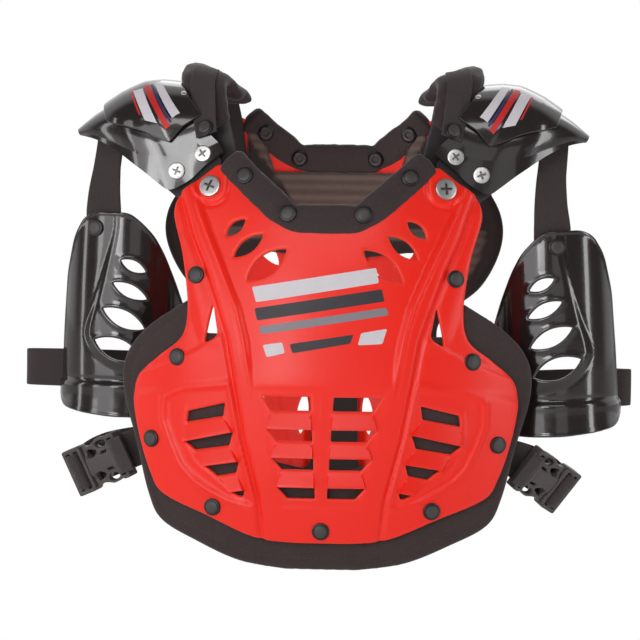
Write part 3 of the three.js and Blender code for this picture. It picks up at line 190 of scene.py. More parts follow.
def makeGloss():
    gloss = Finish("glossBlack", {"IOR": 1.5, "Coat Weight": 0.6, "Coat Roughness": 0.05})
    at = gloss.place()
    cloud = gloss.noise(at, 18.0, 2.0)
    rim = gloss.attribute("rim")
    # A near-black base; its reddish tint is a painted reflection of the red plates.
    colour = gloss.mix(cloud, (0.012, 0.0085, 0.0085), (0.02, 0.012, 0.012))
    # Lighter colour where the rim mark is set, along the outer edges: a painted highlight.
    gloss.feed("Base Color", gloss.mix((rim * 0.4).between(), colour, (0.06, 0.05, 0.05)))
    hairs = gloss.noise(gloss.place((30, 30, 700), (0.5, 0.2, 0.1)), 1.0, 4.0, 0.7)
    gloss.feed("Roughness", cloud * 0.08 + hairs * 0.06 + 0.1)
    gloss.feed("Normal", gloss.bump(gloss.noise(at, 120.0, 2.0), 0.1, 0.0005))
    return gloss.material


def makeMatt(name, shade, roughness):
    matt = Finish(name, {"IOR": 1.48})
    at = matt.place()
    rim = matt.attribute("rim")
    cloud = matt.noise(at, 30.0, 3.0)
    light = tuple(2.0 * s + 0.004 for s in shade)
    colour = matt.mix(cloud, shade, tuple(1.5 * s for s in shade))
    # Where a piece carries the rim mark, its colour is painted lighter: a painted highlight.
    matt.feed("Base Color", matt.mix((rim * 0.3).between(), colour, light))
    matt.feed("Roughness", cloud * 0.12 + roughness)
    grain = matt.noise(at, 1800.0, 2.0)
    matt.feed("Normal", matt.bump(grain, 0.25, 0.0002))
    return matt.material


# Padding cloth: a fine knit over foam, with pale lint and creases.
def makeCloth(name, dark, light, ribs=0.0):
    cloth = Finish(name, {"Sheen Weight": 0.25, "Sheen Roughness": 0.45, "Specular IOR Level": 0.25})
    at = cloth.place()
    cloud = cloth.noise(at, 55.0, 4.0, 0.6)
    cell = cloth.node("TexVoronoi", {}, {"Vector": at, "Scale": 950.0})
    lint = cloth.noise(at, 420.0, 5.0, 0.7)
    colour = cloth.mix(cloud, dark, light)
    colour = cloth.mix((lint - 0.56).between() * 1.6, colour, tuple(1.9 * s + 0.01 for s in light))
    if ribs:
        colour = cloth.mix(cloth.attribute("dark"), colour, (0.032, 0.023, 0.022))
        across = cloth.node("SeparateXYZ", {}, {"Vector": at}, output=2)
        rib = (across * ribs).maths("SINE") * 0.5 + 0.5
        colour = cloth.mix(rib * (1 - cloth.attribute("dark")) * 0.45, colour, tuple(1.7 * s for s in light))
    cloth.feed("Base Color", colour)
    cloth.feed("Roughness", cloud * 0.15 + 0.78)
    crease = cloth.noise(at, 90.0, 4.0, 0.6)
    cloth.feed("Normal", cloth.bump(cell, 0.35, 0.0004, cloth.bump(crease, 0.35, 0.0016)))
    return cloth.material


# Webbing: crossed ribs that follow the strip's own length and width, in millimetres.
def makeWebbing():
    web = Finish("webbing", {"Sheen Weight": 0.2, "Sheen Roughness": 0.4, "Specular IOR Level": 0.3})
    run = web.along()
    across = web.node("SeparateXYZ", {}, {"Vector": run}, output=0)
    along = web.node("SeparateXYZ", {}, {"Vector": run}, output=1)
    warp = (across * (math.pi / 0.9)).maths("SINE").maths("ABSOLUTE")
    weft = ((along + across * 0.5) * (math.pi / 1.1)).maths("SINE").maths("ABSOLUTE")
    weave = warp * 0.55 + weft * 0.45
    cloud = web.noise(web.place(), 60.0, 4.0, 0.6)
    colour = web.mix(weave, (0.016, 0.0115, 0.0115), (0.075, 0.056, 0.055))
    web.feed("Base Color", web.mix(cloud * 0.35, colour, (0.06, 0.045, 0.045)))
    web.feed("Roughness", cloud * 0.15 + 0.72)
    web.feed("Normal", web.bump(weave, 0.7, 0.0005))
    return web.material


def makeSteel():
    steel = Finish("steel", {"Metallic": 1.0})
    at = steel.place()
    cloud = steel.noise(at, 220.0, 3.0)
    face = steel.mix(cloud, (0.50, 0.49, 0.48), (0.64, 0.63, 0.62))
    # Darker colour inside the screws' cross recess, where the rim mark is set: painted shade.
    steel.feed("Base Color", steel.mix(steel.attribute("rim"), face, (0.16, 0.155, 0.15)))
    ridges = (steel.attribute("turned") * 9000.0).maths("SINE") * 0.5 + 0.5
    steel.feed("Roughness", cloud * 0.12 + ridges * 0.06 + 0.26)
    steel.feed("Normal", steel.bump(ridges, 0.12, 0.00006))
    return steel.material


# Rivet heads: a satin disc inside a rim painted darker as shade.
def makeRivet():
    rivet = Finish("rivetBlack", {"IOR": 1.5})
    cloud = rivet.noise(rivet.place(), 140.0, 4.0, 0.65)
    disc = rivet.attribute("turned") < 0.0042
    face = rivet.mix(cloud, (0.034, 0.029, 0.028), (0.072, 0.062, 0.060))
    rivet.feed("Base Color", rivet.mix(disc, (0.009, 0.0075, 0.0075), face))
    rivet.feed("Roughness", cloud * 0.16 + disc * 0.08 + 0.26)
    rivet.feed("Normal", rivet.bump(cloud, 0.2, 0.0004))
    return rivet.material


def makePrint(name, shade, roughness=0.4):
    ink = Finish(name, {"IOR": 1.45})
    cloud = ink.noise(ink.place(), 160.0, 4.0, 0.6)
    ink.feed("Base Color", ink.mix(cloud, shade, tuple(0.86 * s for s in shade)))
    ink.feed("Roughness", cloud * 0.15 + roughness)
    return ink.material


redPlastic = makeRed()
glossBlack = makeGloss()
mattBlack = makeMatt("mattBlack", (0.019, 0.016, 0.017), 0.42)
bucklePlastic = makeMatt("bucklePlastic", (0.062, 0.049, 0.048), 0.3)
rivetBlack = makeRivet()
foamCloth = makeCloth("foamCloth", (0.038, 0.026, 0.026), (0.060, 0.040, 0.039))
collarCloth = makeCloth("collarCloth", (0.036, 0.025, 0.025), (0.058, 0.040, 0.040))
liningCloth = makeCloth("liningCloth", (0.076, 0.052, 0.044), (0.118, 0.082, 0.07), ribs=900.0)
webbing = makeWebbing()
steel = makeSteel()
threadDark = makePrint("threadDark", (0.06, 0.05, 0.05), 0.6)
inkWhite = makePrint("inkWhite", (0.72, 0.68, 0.72))
inkBlack = makePrint("inkBlack", (0.035, 0.03, 0.036))
inkGrey = makePrint("inkGrey", (0.26, 0.24, 0.27))
inkRed = makePrint("inkRed", (0.62, 0.02, 0.02))
inkBlue = makePrint("inkBlue", (0.03, 0.035, 0.13))
print("materials ready")


def turnOutwards(mesh):
    shell = bmesh.new()
    shell.from_mesh(mesh)
    bmesh.ops.recalc_face_normals(shell, faces=shell.faces)
    shell.to_mesh(mesh)
    shell.free()


def addMark(mesh, key, values):
    mesh.attributes.new(key, "FLOAT", "POINT").data.foreach_set("value", np.asarray(values, np.float32))


# A piece of the object. "run" maps each point to the UV map of that name, "marks" are values that the materials read.
def addPiece(name, points, faces, material, replaced=(), sharp=40, run=None, marks=None, outwards=False):
    mesh = bpy.data.meshes.new(name)
    mesh.from_pydata((np.asarray(points, float) * mm).tolist(), [], [list(f) for f in faces])
    mesh.validate()
    if outwards:
        turnOutwards(mesh)
    for key, values in (marks or {}).items():
        addMark(mesh, key, values)
    if run is not None:
        layer = mesh.uv_layers.new(name="run")
        corners = np.zeros(len(mesh.loops), np.int32)
        mesh.loops.foreach_get("vertex_index", corners)
        layer.data.foreach_set("uv", np.asarray(run, np.float32)[corners].ravel())
    mesh.polygons.foreach_set("use_smooth", [True] * len(mesh.polygons))
    mesh.set_sharp_from_angle(angle=math.radians(sharp))
    mesh.materials.append(material)
    piece = bpy.data.objects.new(name, mesh)
    scene.collection.objects.link(piece)
    return finishPiece(piece, replaced)


def finishPiece(piece, replaced=()):
    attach(piece, "root")
    if replaced:
        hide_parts(*replaced)
    return piece


# From 0 at the low value to 1 at the high one, with soft ends.
def ramp(value, low, high):
    t = np.clip((np.asarray(value, float) - low) / (high - low), 0, 1)
    return t * t * (3 - 2 * t)


def hill(value, width):
    return np.exp(-((np.asarray(value, float) / width) ** 2))


def insidePolygon(points, polygon):
    x, z = points[:, 0], points[:, 1]
    inside = np.zeros(len(points), bool)
    ends = np.roll(polygon, -1, axis=0)
    for (x1, z1), (x2, z2) in zip(polygon, ends):
        if z1 != z2:
            crosses = (z1 > z) != (z2 > z)
            inside ^= crosses & (x < x1 + (z - z1) * (x2 - x1) / (z2 - z1))
    return inside


def evenly(points, spacing, closed=False):
    line = np.asarray(points, float)
    if closed:
        line = np.vstack([line, line[:1]])
    steps = np.linalg.norm(np.diff(line, axis=0), axis=1)
    made = []
    for start, end, length in zip(line, line[1:], steps):
        count = max(1, int(round(length / spacing)))
        for i in range(count):
            made.append(start + (end - start) * i / count)
    if not closed:
        made.append(line[-1])
    return np.array(made)


# From each point to the nearest place on a line.
def lineDistance(points, line):
    best = np.full(len(points), 1e9)
    for start, end in zip(line[:-1], line[1:]):
        start, end = np.asarray(start, float), np.asarray(end, float)
        step = end - start
        t = np.clip(((points - start) @ step) / (step @ step), 0, 1)
        best = np.minimum(best, np.linalg.norm(points - (start + t[:, None] * step), axis=1))
    return best


# The same for a closed line, negative outside it.
def signedDistance(points, polygon):
    away = lineDistance(points, np.vstack([polygon, polygon[:1]]))
    return np.where(insidePolygon(points, np.asarray(polygon)), away, -away)


# A function that gives the distance from points to the nearest of these.
def nearestTo(dense):
    tree = KDTree(len(dense))
    for i, (x, z) in enumerate(dense):
        tree.insert((x, z, 0), i)
    tree.balance()

    def distances(found):
        return np.array([tree.find((x, z, 0))[2] for x, z in found])

    return distances


# Staggered rows of points over a rectangle.
def latticeOver(low, high, spacing):
    rows = []
    for r, z in enumerate(np.arange(low[1], high[1], spacing * math.sqrt(3) / 2)):
        across = np.arange(low[0] + (r % 2) * spacing / 2, high[0], spacing)
        rows.append(np.stack([across, np.full(len(across), z)], 1))
    return np.vstack(rows)


# Turns all triangles the same way and leaves out the ones without an area.
def turnedAlike(flat, faces, smallest=1e-7):
    a, b, c = flat[faces[:, 0]], flat[faces[:, 1]], flat[faces[:, 2]]
    turning = (b[:, 0] - a[:, 0]) * (c[:, 1] - a[:, 1]) - (b[:, 1] - a[:, 1]) * (c[:, 0] - a[:, 0])
    faces = faces[np.abs(turning) > smallest]
    turning = turning[np.abs(turning) > smallest]
    faces[turning < 0] = faces[turning < 0][:, ::-1]
    return faces


# How a region is cut up. Those called gap are shares of the spacing or of a ring's depth.
cutting = {"quick": 1.8, "edgeGap": 0.85, "dense": 0.15, "ringGap": 0.9, "latticeGap": 0.5, "creaseGap": 0.4,
           "weld": 1e-4, "onEdge": 0.1}


# A flat region cut into small triangles, finer along its edges, with the distance from each point to the edge.
def meshRegion(outline, holes, spacing, rings, creases=()):
    fineness = spacing * cutting["edgeGap"]
    loops = [evenly(outline, fineness, True)] + [evenly(h, fineness, True) for h in holes]
    points, edges = [], []
    for loop in loops:
        first = len(points)
        points.extend(loop.tolist())
        edges.extend((first + i, first + (i + 1) % len(loop)) for i in range(len(loop)))
    for crease in creases:
        line = evenly(crease, fineness)
        first = len(points)
        points.extend(line.tolist())
        edges.extend((first + i, first + i + 1) for i in range(len(line) - 1))
    loopsExact = (np.asarray(outline, float), *map(np.asarray, holes))
    distances = nearestTo(np.vstack([evenly(loop, cutting["dense"], True) for loop in loopsExact]))

    def within(found):
        inside = insidePolygon(found, loops[0])
        for hole in loops[1:]:
            inside &= ~insidePolygon(found, hole)
        return inside

    spare = []
    for loop in loops:
        ahead = np.roll(loop, -1, axis=0) - np.roll(loop, 1, axis=0)
        normal = np.stack([-ahead[:, 1], ahead[:, 0]], 1)
        normal /= np.maximum(np.linalg.norm(normal, axis=1), 1e-9)[:, None]
        for depth in rings:
            for sign in (1, -1):
                moved = loop + normal * depth * sign
                moved = moved[within(moved)]
                if len(moved):
                    spare.append(moved[distances(moved) > depth * cutting["ringGap"]])
    lattice = latticeOver(loops[0].min(0), loops[0].max(0), spacing)
    lattice = lattice[within(lattice)]
    lattice = lattice[distances(lattice) > (max(rings) if rings else 0) + spacing * cutting["latticeGap"]]
    for crease in creases:
        lattice = lattice[lineDistance(lattice, crease) > spacing * cutting["creaseGap"]]
    spare.append(lattice)
    points.extend(np.vstack(spare).tolist())
    flat, _, faces, _, _, _ = delaunay_2d_cdt([Vector(p) for p in points], edges, [], 0, cutting["weld"])
    flat = np.array([(p.x, p.y) for p in flat])
    faces = np.array([f for f in faces if len(f) == 3])
    depth = distances(flat)
    onEdge = (depth < cutting["onEdge"])[faces].all(1)
    keep = np.ones(len(faces), bool)
    keep[onEdge] = within(flat[faces[onEdge]].mean(1))
    faces = turnedAlike(flat, faces[keep])
    used = np.unique(faces)
    order = -np.ones(len(flat), int)
    order[used] = np.arange(len(used))
    return flat[used], order[faces], depth[used]


# A solid wall over a region, from the place of each point on its two faces.
def wallOver(faces, outer, inner, flip=False):
    count = len(outer)
    directed = {}
    for a, b, c in faces:
        for edge in ((a, b), (b, c), (c, a)):
            directed[edge] = True
    rim = [edge for edge in directed if (edge[1], edge[0]) not in directed]
    made = [tuple(f) for f in faces] + [(c + count, b + count, a + count) for a, b, c in faces]
    made += [(b, a, a + count, b + count) for a, b in rim]
    if flip:
        made = [tuple(reversed(f)) for f in made]
    return np.vstack([outer, inner]), made


# How far a rounded edge falls back, at each distance from the edge.
def rounded(depth, radius):
    left = np.clip(radius - depth, 0, radius)
    return radius - np.sqrt(radius ** 2 - left ** 2)


front = {
    "facing": -1, "halfWidth": 128.5, "height": 250.0, "top": -52.0, "crown": 82.5, "sideWrap": 38.0,
    "topLean": 24.0, "leanFrom": 0.45, "bottomTuck": 8.0,
}
back = {
    "facing": 1, "halfWidth": 110.0, "height": 285.0, "top": -15.0, "crown": 82.5, "sideWrap": 40.0,
    "topLean": 20.0, "leanFrom": 0.5, "bottomTuck": 8.0,
}
plate = {"wall": 2.5, "seat": 0.3, "relief": 2.5, "edgeRadius": 1.0, "highlightReach": 0.7, "rings": (0.15, 0.45, 1.0)}


# Places on a panel: across from the middle in half widths, and up from the lower edge in heights.
def shares(panel, flat):
    return flat[:, 0] / panel["halfWidth"], 1 - (panel["top"] - flat[:, 1]) / panel["height"]


def toFlat(panel, points):
    points = np.asarray(points, float)
    return np.stack([points[:, 0] * panel["halfWidth"], panel["top"] - panel["height"] * (1 - points[:, 1])], 1)


def panelDepth(panel, x, z):
    u = np.abs(x) / panel["halfWidth"]
    v = 1 - (panel["top"] - z) / panel["height"]
    lean = np.maximum(0, (v - panel["leanFrom"]) / (1 - panel["leanFrom"])) ** 2
    tuck = np.maximum(0, (panel["leanFrom"] - v) / panel["leanFrom"]) ** 2
    inwards = panel["sideWrap"] * u ** 2.2 + panel["topLean"] * lean + panel["bottomTuck"] * tuck
    return panel["facing"] * (panel["crown"] - inwards)


def panelNormal(panel, flat):
    x, z, step = flat[:, 0], flat[:, 1], 0.5
    slopeX = (panelDepth(panel, x + step, z) - panelDepth(panel, x - step, z)) / (2 * step)
    slopeZ = (panelDepth(panel, x, z + step) - panelDepth(panel, x, z - step)) / (2 * step)
    normal = np.stack([-slopeX, np.ones(len(x)), -slopeZ], 1) * panel["facing"]
    return normal / np.linalg.norm(normal, axis=1)[:, None]


def onPanel(panel, flat, lift):
    flat = np.asarray(flat, float)
    base = np.stack([flat[:, 0], panelDepth(panel, flat[:, 0], flat[:, 1]), flat[:, 1]], 1)
    return base + panelNormal(panel, flat) * np.broadcast_to(lift, len(flat))[:, None]


# A smooth curve from p1 to p2, at a share of the way.
def curveAt(p0, p1, p2, p3, t):
    return 0.5 * (2 * p1 + (p2 - p0) * t + (2 * p0 - 5 * p1 + 4 * p2 - p3) * t ** 2
                  + (3 * p1 - p0 - 3 * p2 + p3) * t ** 3)


# Half an outline, in straight and smooth runs. A smooth run starts from the end of the one before.
def halfOutline(runs, divisions=10):
    made = []
    for smooth, points in runs:
        points = [np.array(p, float) for p in points]
        if not smooth:
            made.extend(points)
            continue
        points = [made[-1]] + points
        last = len(points) - 1
        for i in range(last):
            near = (points[max(i - 1, 0)], points[i], points[i + 1], points[min(i + 2, last)])
            made.extend(curveAt(*near, step / divisions) for step in range(1, divisions + 1))
    return np.array(made)


def wholeOutline(half):
    mirrored = half[half[:, 0] > 1e-6][::-1] * (-1, 1)
    return np.vstack([half, mirrored])


# A pointed leaf.
def leaf(x, z, length, width, tilt, steps=14):
    angle = math.radians(tilt)
    c, s = math.cos(angle), math.sin(angle)
    edge = []
    for side in (1, -1):
        for i in range(steps):
            along = side * (-0.5 + i / steps) * length
            bulge = side * 0.5 * math.sin(math.pi * i / steps) ** 0.8 * width
            edge.append((x + along * c - bulge * s, z + along * s + bulge * c))
    return np.array(edge)


def panelLeaf(panel, u, v, length, width, tilt):
    x, z = toFlat(panel, [(u, v)])[0]
    return leaf(x, z, length * panel["halfWidth"], width * panel["halfWidth"], tilt)


# Each polygon and its mirror image.
def bothSides(polygons):
    return [p for polygon in polygons for p in (polygon, (polygon * (-1, 1))[::-1])]


# The curve that cuts a corner round.
def roundCorner(before, at, after, radius, steps):
    toBefore, toAfter = before - at, after - at
    cut = min(radius, 0.45 * np.linalg.norm(toBefore), 0.45 * np.linalg.norm(toAfter))
    start = at + toBefore / np.linalg.norm(toBefore) * cut
    end = at + toAfter / np.linalg.norm(toAfter) * cut
    made = []
    for step in range(steps + 1):
        t = step / steps
        made.append((1 - t) ** 2 * start + 2 * t * (1 - t) * at + t ** 2 * end)
    return made


# A polygon with its corners cut round.
def softened(polygon, radius, steps=4):
    made = []
    for i in range(len(polygon)):
        made += roundCorner(polygon[i - 1], polygon[i], polygon[(i + 1) % len(polygon)], radius, steps)
    return np.array(made)


# A line with its corners cut round.
def softenedLine(line, radius, steps=6):
    made = [line[0]]
    for before, at, after in zip(line, line[1:], line[2:]):
        made += roundCorner(before, at, after, radius, steps)
    return np.array([*made, line[-1]])


frontHalf = halfOutline([
    (False, [(0, 0.862), (0.17, 0.862), (0.22, 0.88), (0.52, 1), (0.58, 0.994), (0.78, 0.914)]),
    (True, [(0.8, 0.86), (0.745, 0.75), (0.717, 0.62), (0.745, 0.54), (0.863, 0.488), (0.972, 0.435), (1, 0.374),
            (0.97, 0.276), (0.904, 0.171), (0.83, 0.115), (0.6, 0.065), (0.349, 0.012), (0.15, 0)]),
    (False, [(0, 0)]),
])
frontVents = [(0.47, 0.832, 0.132, 0.058, -42), (0.4, 0.785, 0.195, 0.07, -38), (0.3, 0.736, 0.257, 0.101, -39)]
sideWindow = [(0.578, 0.63), (0.547, 0.545), (0.622, 0.522)]
# Louvre openings: the four corners of each, from the inner top one outwards and round.
middleGrille = [
    [(0.06, 0.39), (0.308, 0.39), (0.262, 0.353), (0.056, 0.353)],
    [(0.05, 0.304), (0.281, 0.304), (0.231, 0.272), (0.047, 0.272)],
    [(0.042, 0.228), (0.257, 0.228), (0.205, 0.196), (0.039, 0.196)],
    [(0.034, 0.15), (0.226, 0.15), (0.175, 0.12), (0.031, 0.12)],
]
sideGrille = [
    [(0.506, 0.367), (0.704, 0.341), (0.711, 0.312), (0.515, 0.332)],
    [(0.462, 0.29), (0.717, 0.259), (0.665, 0.238), (0.483, 0.254)],
    [(0.431, 0.212), (0.609, 0.196), (0.545, 0.171), (0.444, 0.182)],
    [(0.4, 0.136), (0.465, 0.13), (0.43, 0.12), (0.405, 0.119)],
]
# The rail's inner and outer foot at levels v, as shares of the half width.
railLevels = [-0.08, 0.118, 0.276, 0.44, 0.54, 0.625, 0.73, 0.81, 0.873, 1.06]
railInner = [0.21, 0.25, 0.3, 0.357, 0.39, 0.432, 0.518, 0.588, 0.64, 0.76]
railOuter = [0.28, 0.324, 0.405, 0.466, 0.5, 0.556, 0.63, 0.7, 0.738, 0.87]
panelFoot = 0.425
crescent = [(0.827, 0.372), (0.829, 0.313), (0.789, 0.255), (0.736, 0.197), (0.673, 0.163), (0.591, 0.136),
            (0.49, 0.112), (0.39, 0.1)]
crescentInner = [(0.722, 0.345), (0.726, 0.287), (0.71, 0.245), (0.673, 0.207), (0.58, 0.17), (0.488, 0.132),
                 (0.416, 0.112)]
recessTop = [(0.355, 0.1), (0.432, 0.276), (0.488, 0.412), (0.727, 0.399)]
waistLine = [(1.05, 0.37), (0.998, 0.38), (0.8346, 0.403), (0.727, 0.4057), (0.47, 0.43)]
bandLine = [(0.5, 0.56), (0.544, 0.5456), (0.657, 0.509), (0.765, 0.482), (0.9, 0.452), (1.1, 0.42)]
middleRecess = [(0, 0.41), (0.335, 0.41), (0.2, 0.098), (0, 0.098)]
screwPad = {"at": (0.607, 0.938), "radius": 10.5, "rise": 1.3, "length": (-2.0, 30.0), "groove": 0.7}
# How much each form of the front plate stands up or is sunk.
raised = {"rail": 0.9, "railLip": 0.5, "railGroove": 0.45, "footGroove": 0.7, "band": 1.1, "aboveBand": 0.8,
          "belowWaist": 1.1, "recess": 1.5, "crescent": 1.0, "crescentInner": 0.55, "middle": 0.35, "slat": 3.6,
          "slatFoot": 0.6}
bandWidth = 0.16
slatEdge = 0.28  # half the width of a slat's steep side


# How far the places lie under a line on the panel.
def below(flat, panel, line):
    u, v = shares(panel, flat)
    us, vs = zip(*sorted(line))
    return (np.interp(np.abs(u), us, vs) - v) * panel["height"]


# The rails and the sunk panel between them.
def railLift(v, fromInner, fromOuter):
    low = plate["relief"] * ramp((panelFoot - v) * front["height"], -30.0, 4.0)
    lift = low + (plate["relief"] - low) * ramp(fromInner, -1.0, 1.4)
    lift = lift * ramp(fromOuter, -0.6, 3.0)
    onRail = ramp(v, panelFoot - 0.1, panelFoot + 0.06)
    share = np.clip(fromInner / np.maximum(fromInner + fromOuter, 1), 0, 1)
    lift += onRail * raised["rail"] * np.sin(np.pi * share) * (fromInner > 0) * (fromOuter > 0)
    lift += onRail * raised["railLip"] * hill(fromInner - 2.6, 0.9)
    lift -= onRail * raised["railGroove"] * hill(fromInner - 4.3, 0.8)
    return lift - raised["footGroove"] * hill(fromOuter + 1.2, 1.5) * ramp(v, 0.02, 0.12)


# The band, the waist and the crescents outside the rails.
def sideLift(reach, u, v, outwards):
    outside = ramp(outwards, 0.5, 4.0)
    bulge = np.sin(np.pi * np.clip(outwards / np.maximum(bandWidth * front["halfWidth"], 1), 0, 1))
    lift = outside * ramp(v, 0.5, 0.56) * raised["band"] * bulge
    lift += outside * raised["aboveBand"] * ramp(below(reach, front, bandLine), -1.2, 1.6)
    lift += outside * raised["belowWaist"] * ramp(below(reach, front, waistLine), -3.0, 4.0)
    recess = signedDistance(reach, toFlat(front, crescent + recessTop))
    lift -= raised["recess"] * ramp(recess, -1.2, 2.4) * outside
    ridge = lineDistance(reach, toFlat(front, crescent))
    lift += raised["crescent"] * hill(ridge, 2.2) * ramp(u, 0.4, 0.6)
    return lift + raised["crescentInner"] * hill(lineDistance(reach, toFlat(front, crescentInner)), 1.0)


def screwPadLift(reach):
    at = toFlat(front, [screwPad["at"]])[0]
    around = lineDistance(reach, [at, at + screwPad["length"]]) - screwPad["radius"]
    return screwPad["rise"] * ramp(-around, -1.0, 0.6) - screwPad["groove"] * hill(around - 1.8, 1.1)


# The corners of each slat, which lies between two openings of a grille.
def slats():
    return [toFlat(front, [upper[3], upper[2], lower[1], lower[0]])
            for grille in (middleGrille, sideGrille) for upper, lower in zip(grille, grille[1:])]


def slatLift(reach):
    lift = 0
    for corners in slats():
        inside = ramp(signedDistance(reach, corners), -0.25, 0.25)
        fromTop, fromLow = lineDistance(reach, corners[:2]), lineDistance(reach, corners[3:1:-1])
        slope = fromTop / np.maximum(fromTop + fromLow, 1e-6)
        lift += inside * (-raised["slatFoot"] + (raised["slat"] + raised["slatFoot"]) * slope)
    return lift


def frontLift(flat):
    reach = np.stack([np.abs(flat[:, 0]), flat[:, 1]], 1)
    u, v = shares(front, reach)
    fromInner = (u - np.interp(v, railLevels, railInner)) * front["halfWidth"]
    fromOuter = (np.interp(v, railLevels, railOuter) - u) * front["halfWidth"]
    lift = railLift(v, fromInner, fromOuter) + sideLift(reach, u, v, -fromOuter)
    middle = signedDistance(reach, toFlat(front, middleRecess))
    lift -= raised["middle"] * ramp(middle, -2.2, 1.6) * (u < 0.4)
    return lift + screwPadLift(reach) + slatLift(reach)


# Lines along the slats' ends, so that their steep sides run straight.
def slatCreases():
    lines = []
    for corners in slats():
        for start, end in ((corners[0], corners[3]), (corners[1], corners[2])):
            normal = np.array([end[1] - start[1], start[0] - end[0]])
            normal /= np.linalg.norm(normal)
            shorter = (end - start) * 0.03
            for side in (-slatEdge, slatEdge):
                line = np.array([start + shorter, end - shorter]) + normal * side
                lines += [line, line * (-1, 1)]
    return lines


# Lines along the rail's feet, so that its narrow steps run straight.
def railCreases(outline):
    lines = []
    for feet, offsets in ((railInner, (-1.0, 0.2, 1.4, 2.6, 3.5, 4.3)), (railOuter, (-3.0, -1.2, 0.6, 1.2))):
        for offset in offsets:
            line = toFlat(front, np.stack([feet, railLevels], 1)) + (offset, 0)
            fine = evenly(line, 0.5)
            kept = fine[signedDistance(fine, outline) > 1.7]
            middle = line[(line[:, 1] > kept[0, 1] + 1) & (line[:, 1] < kept[-1, 1] - 1)]
            line = np.vstack([kept[:1], middle, kept[-1:]])
            lines += [line, line * (-1, 1)]
    return lines


# One of the two plates, with its outer edges rounded and marked for a painted highlight along them.
def makePlate(name, node, panel, outline, holes, spacing, lifted, creases=()):
    flat, faces, depth = meshRegion(outline, bothSides(holes), spacing, plate["rings"], creases)
    lift = lifted(flat)
    outer = onPanel(panel, flat, lift - rounded(depth, plate["edgeRadius"]))
    inner = onPanel(panel, flat, lift - plate["wall"])
    points, made = wallOver(faces, outer, inner, flip=panel is back)
    # Painted highlight: the rim mark lightens the colour near the outer edges.
    rim = np.tile(np.exp(-depth / plate["highlightReach"]), 2)
    addPiece(name, points, made, redPlastic, [node], 50, marks={"rim": rim})


def makeFrontPlate():
    holes = [panelLeaf(front, *vent) for vent in frontVents]
    holes.append(softened(toFlat(front, sideWindow), 4))
    holes += [softened(toFlat(front, opening), 1.2) for opening in middleGrille + sideGrille]
    outline = wholeOutline(toFlat(front, frontHalf))
    creases = slatCreases() + railCreases(outline)
    makePlate("frontPlate", "front_plate", front, outline, holes, 1.45, frontLift, creases)


backHalf = halfOutline([
    (False, [(0, 0.877), (0.227, 0.877), (0.29, 0.893), (0.54, 0.972), (0.62, 0.985)]),
    (True, [(0.72, 0.905), (0.9, 0.82), (1.02, 0.74), (1.02, 0.66), (0.9, 0.57), (0.68, 0.5), (0.636, 0.445),
            (0.7, 0.37), (0.86, 0.31), (0.945, 0.24), (0.93, 0.15), (0.8, 0.075), (0.5, 0.022), (0.2, 0)]),
    (False, [(0, 0)]),
])
backVents = [(0.45, 0.655, 0.236, 0.082, 52), (0.62, 0.7, 0.182, 0.068, 52)]
backSlots = [(0.27, 0.56, 0.236, 0.073, 96), (0.24, 0.4, 0.255, 0.073, 96), (0.21, 0.252, 0.273, 0.073, 96),
             (0.5, 0.27, 0.273, 0.082, 96)]
backFolds = [[(0.25, 0.86), (0.34, 0.72), (0.6, 0.58), (0.9, 0.6), (0.98, 0.7)],
             [(0.3, 0.12), (0.38, 0.3), (0.52, 0.42), (0.66, 0.36)]]
spine = {"half": 0.13, "foot": 0.2, "lip": 0.7, "folds": 1.2}


def backLift(flat):
    reach = np.stack([np.abs(flat[:, 0]), flat[:, 1]], 1)
    u = shares(back, reach)[0]
    lift = plate["relief"] * ramp(spine["foot"] - u, -0.004, 0.03)
    lift += spine["lip"] * hill((u - spine["half"]) * back["halfWidth"], 1.6)
    for fold in backFolds:
        lift += spine["folds"] * hill(lineDistance(reach, toFlat(back, fold)), 2.2)
    return lift


def makeBackPlate():
    holes = [panelLeaf(back, *vent) for vent in backVents + backSlots]
    makePlate("backPlate", "back_plate", back, wholeOutline(toFlat(back, backHalf)), holes, 1.7, backLift)


makeFrontPlate()
makeBackPlate()
print("plates ready")


# A slow random swell, the same on each run.
def ripple(points, size, seed, waves=7):
    random = np.random.default_rng(seed)
    total = 0
    for _ in range(waves):
        direction = random.normal(size=3)
        direction /= np.linalg.norm(direction)
        length = size * random.uniform(0.6, 1.6)
        total = total + np.sin(points @ direction * 2 * math.pi / length + random.uniform(0, 6.28))
    return total / math.sqrt(waves)


frontLinerOuter = halfOutline([
    (False, [(0.735, 0.638)]),
    (True, [(0.955, 0.562), (1.075, 0.482), (1.09, 0.385), (1.013, 0.245), (0.945, 0.11), (0.868, 0.037),
            (0.67, -0.015), (0.44, -0.061), (0.2, -0.079)]),
    (False, [(0, -0.079)]),
])
frontLinerInner = halfOutline([
    (False, [(0.622, 0.551), (0.52, 0.551)]),
    (True, [(0.38, 0.49), (0.345, 0.38), (0.308, 0.276), (0.235, 0.21), (0.1, 0.187)]),
    (False, [(0, 0.186)]),
])
liner = {"outer": -2.85, "inner": -8.75, "binding": 7.0, "edgeRadius": 2.9, "swell": 1.1, "wrinkle": 0.35,
         "bindingDent": 0.7, "edgeBead": 0.35, "seamDent": 0.9, "rings": (0.5, 1.2, 2.2, 3.4, 5.0)}


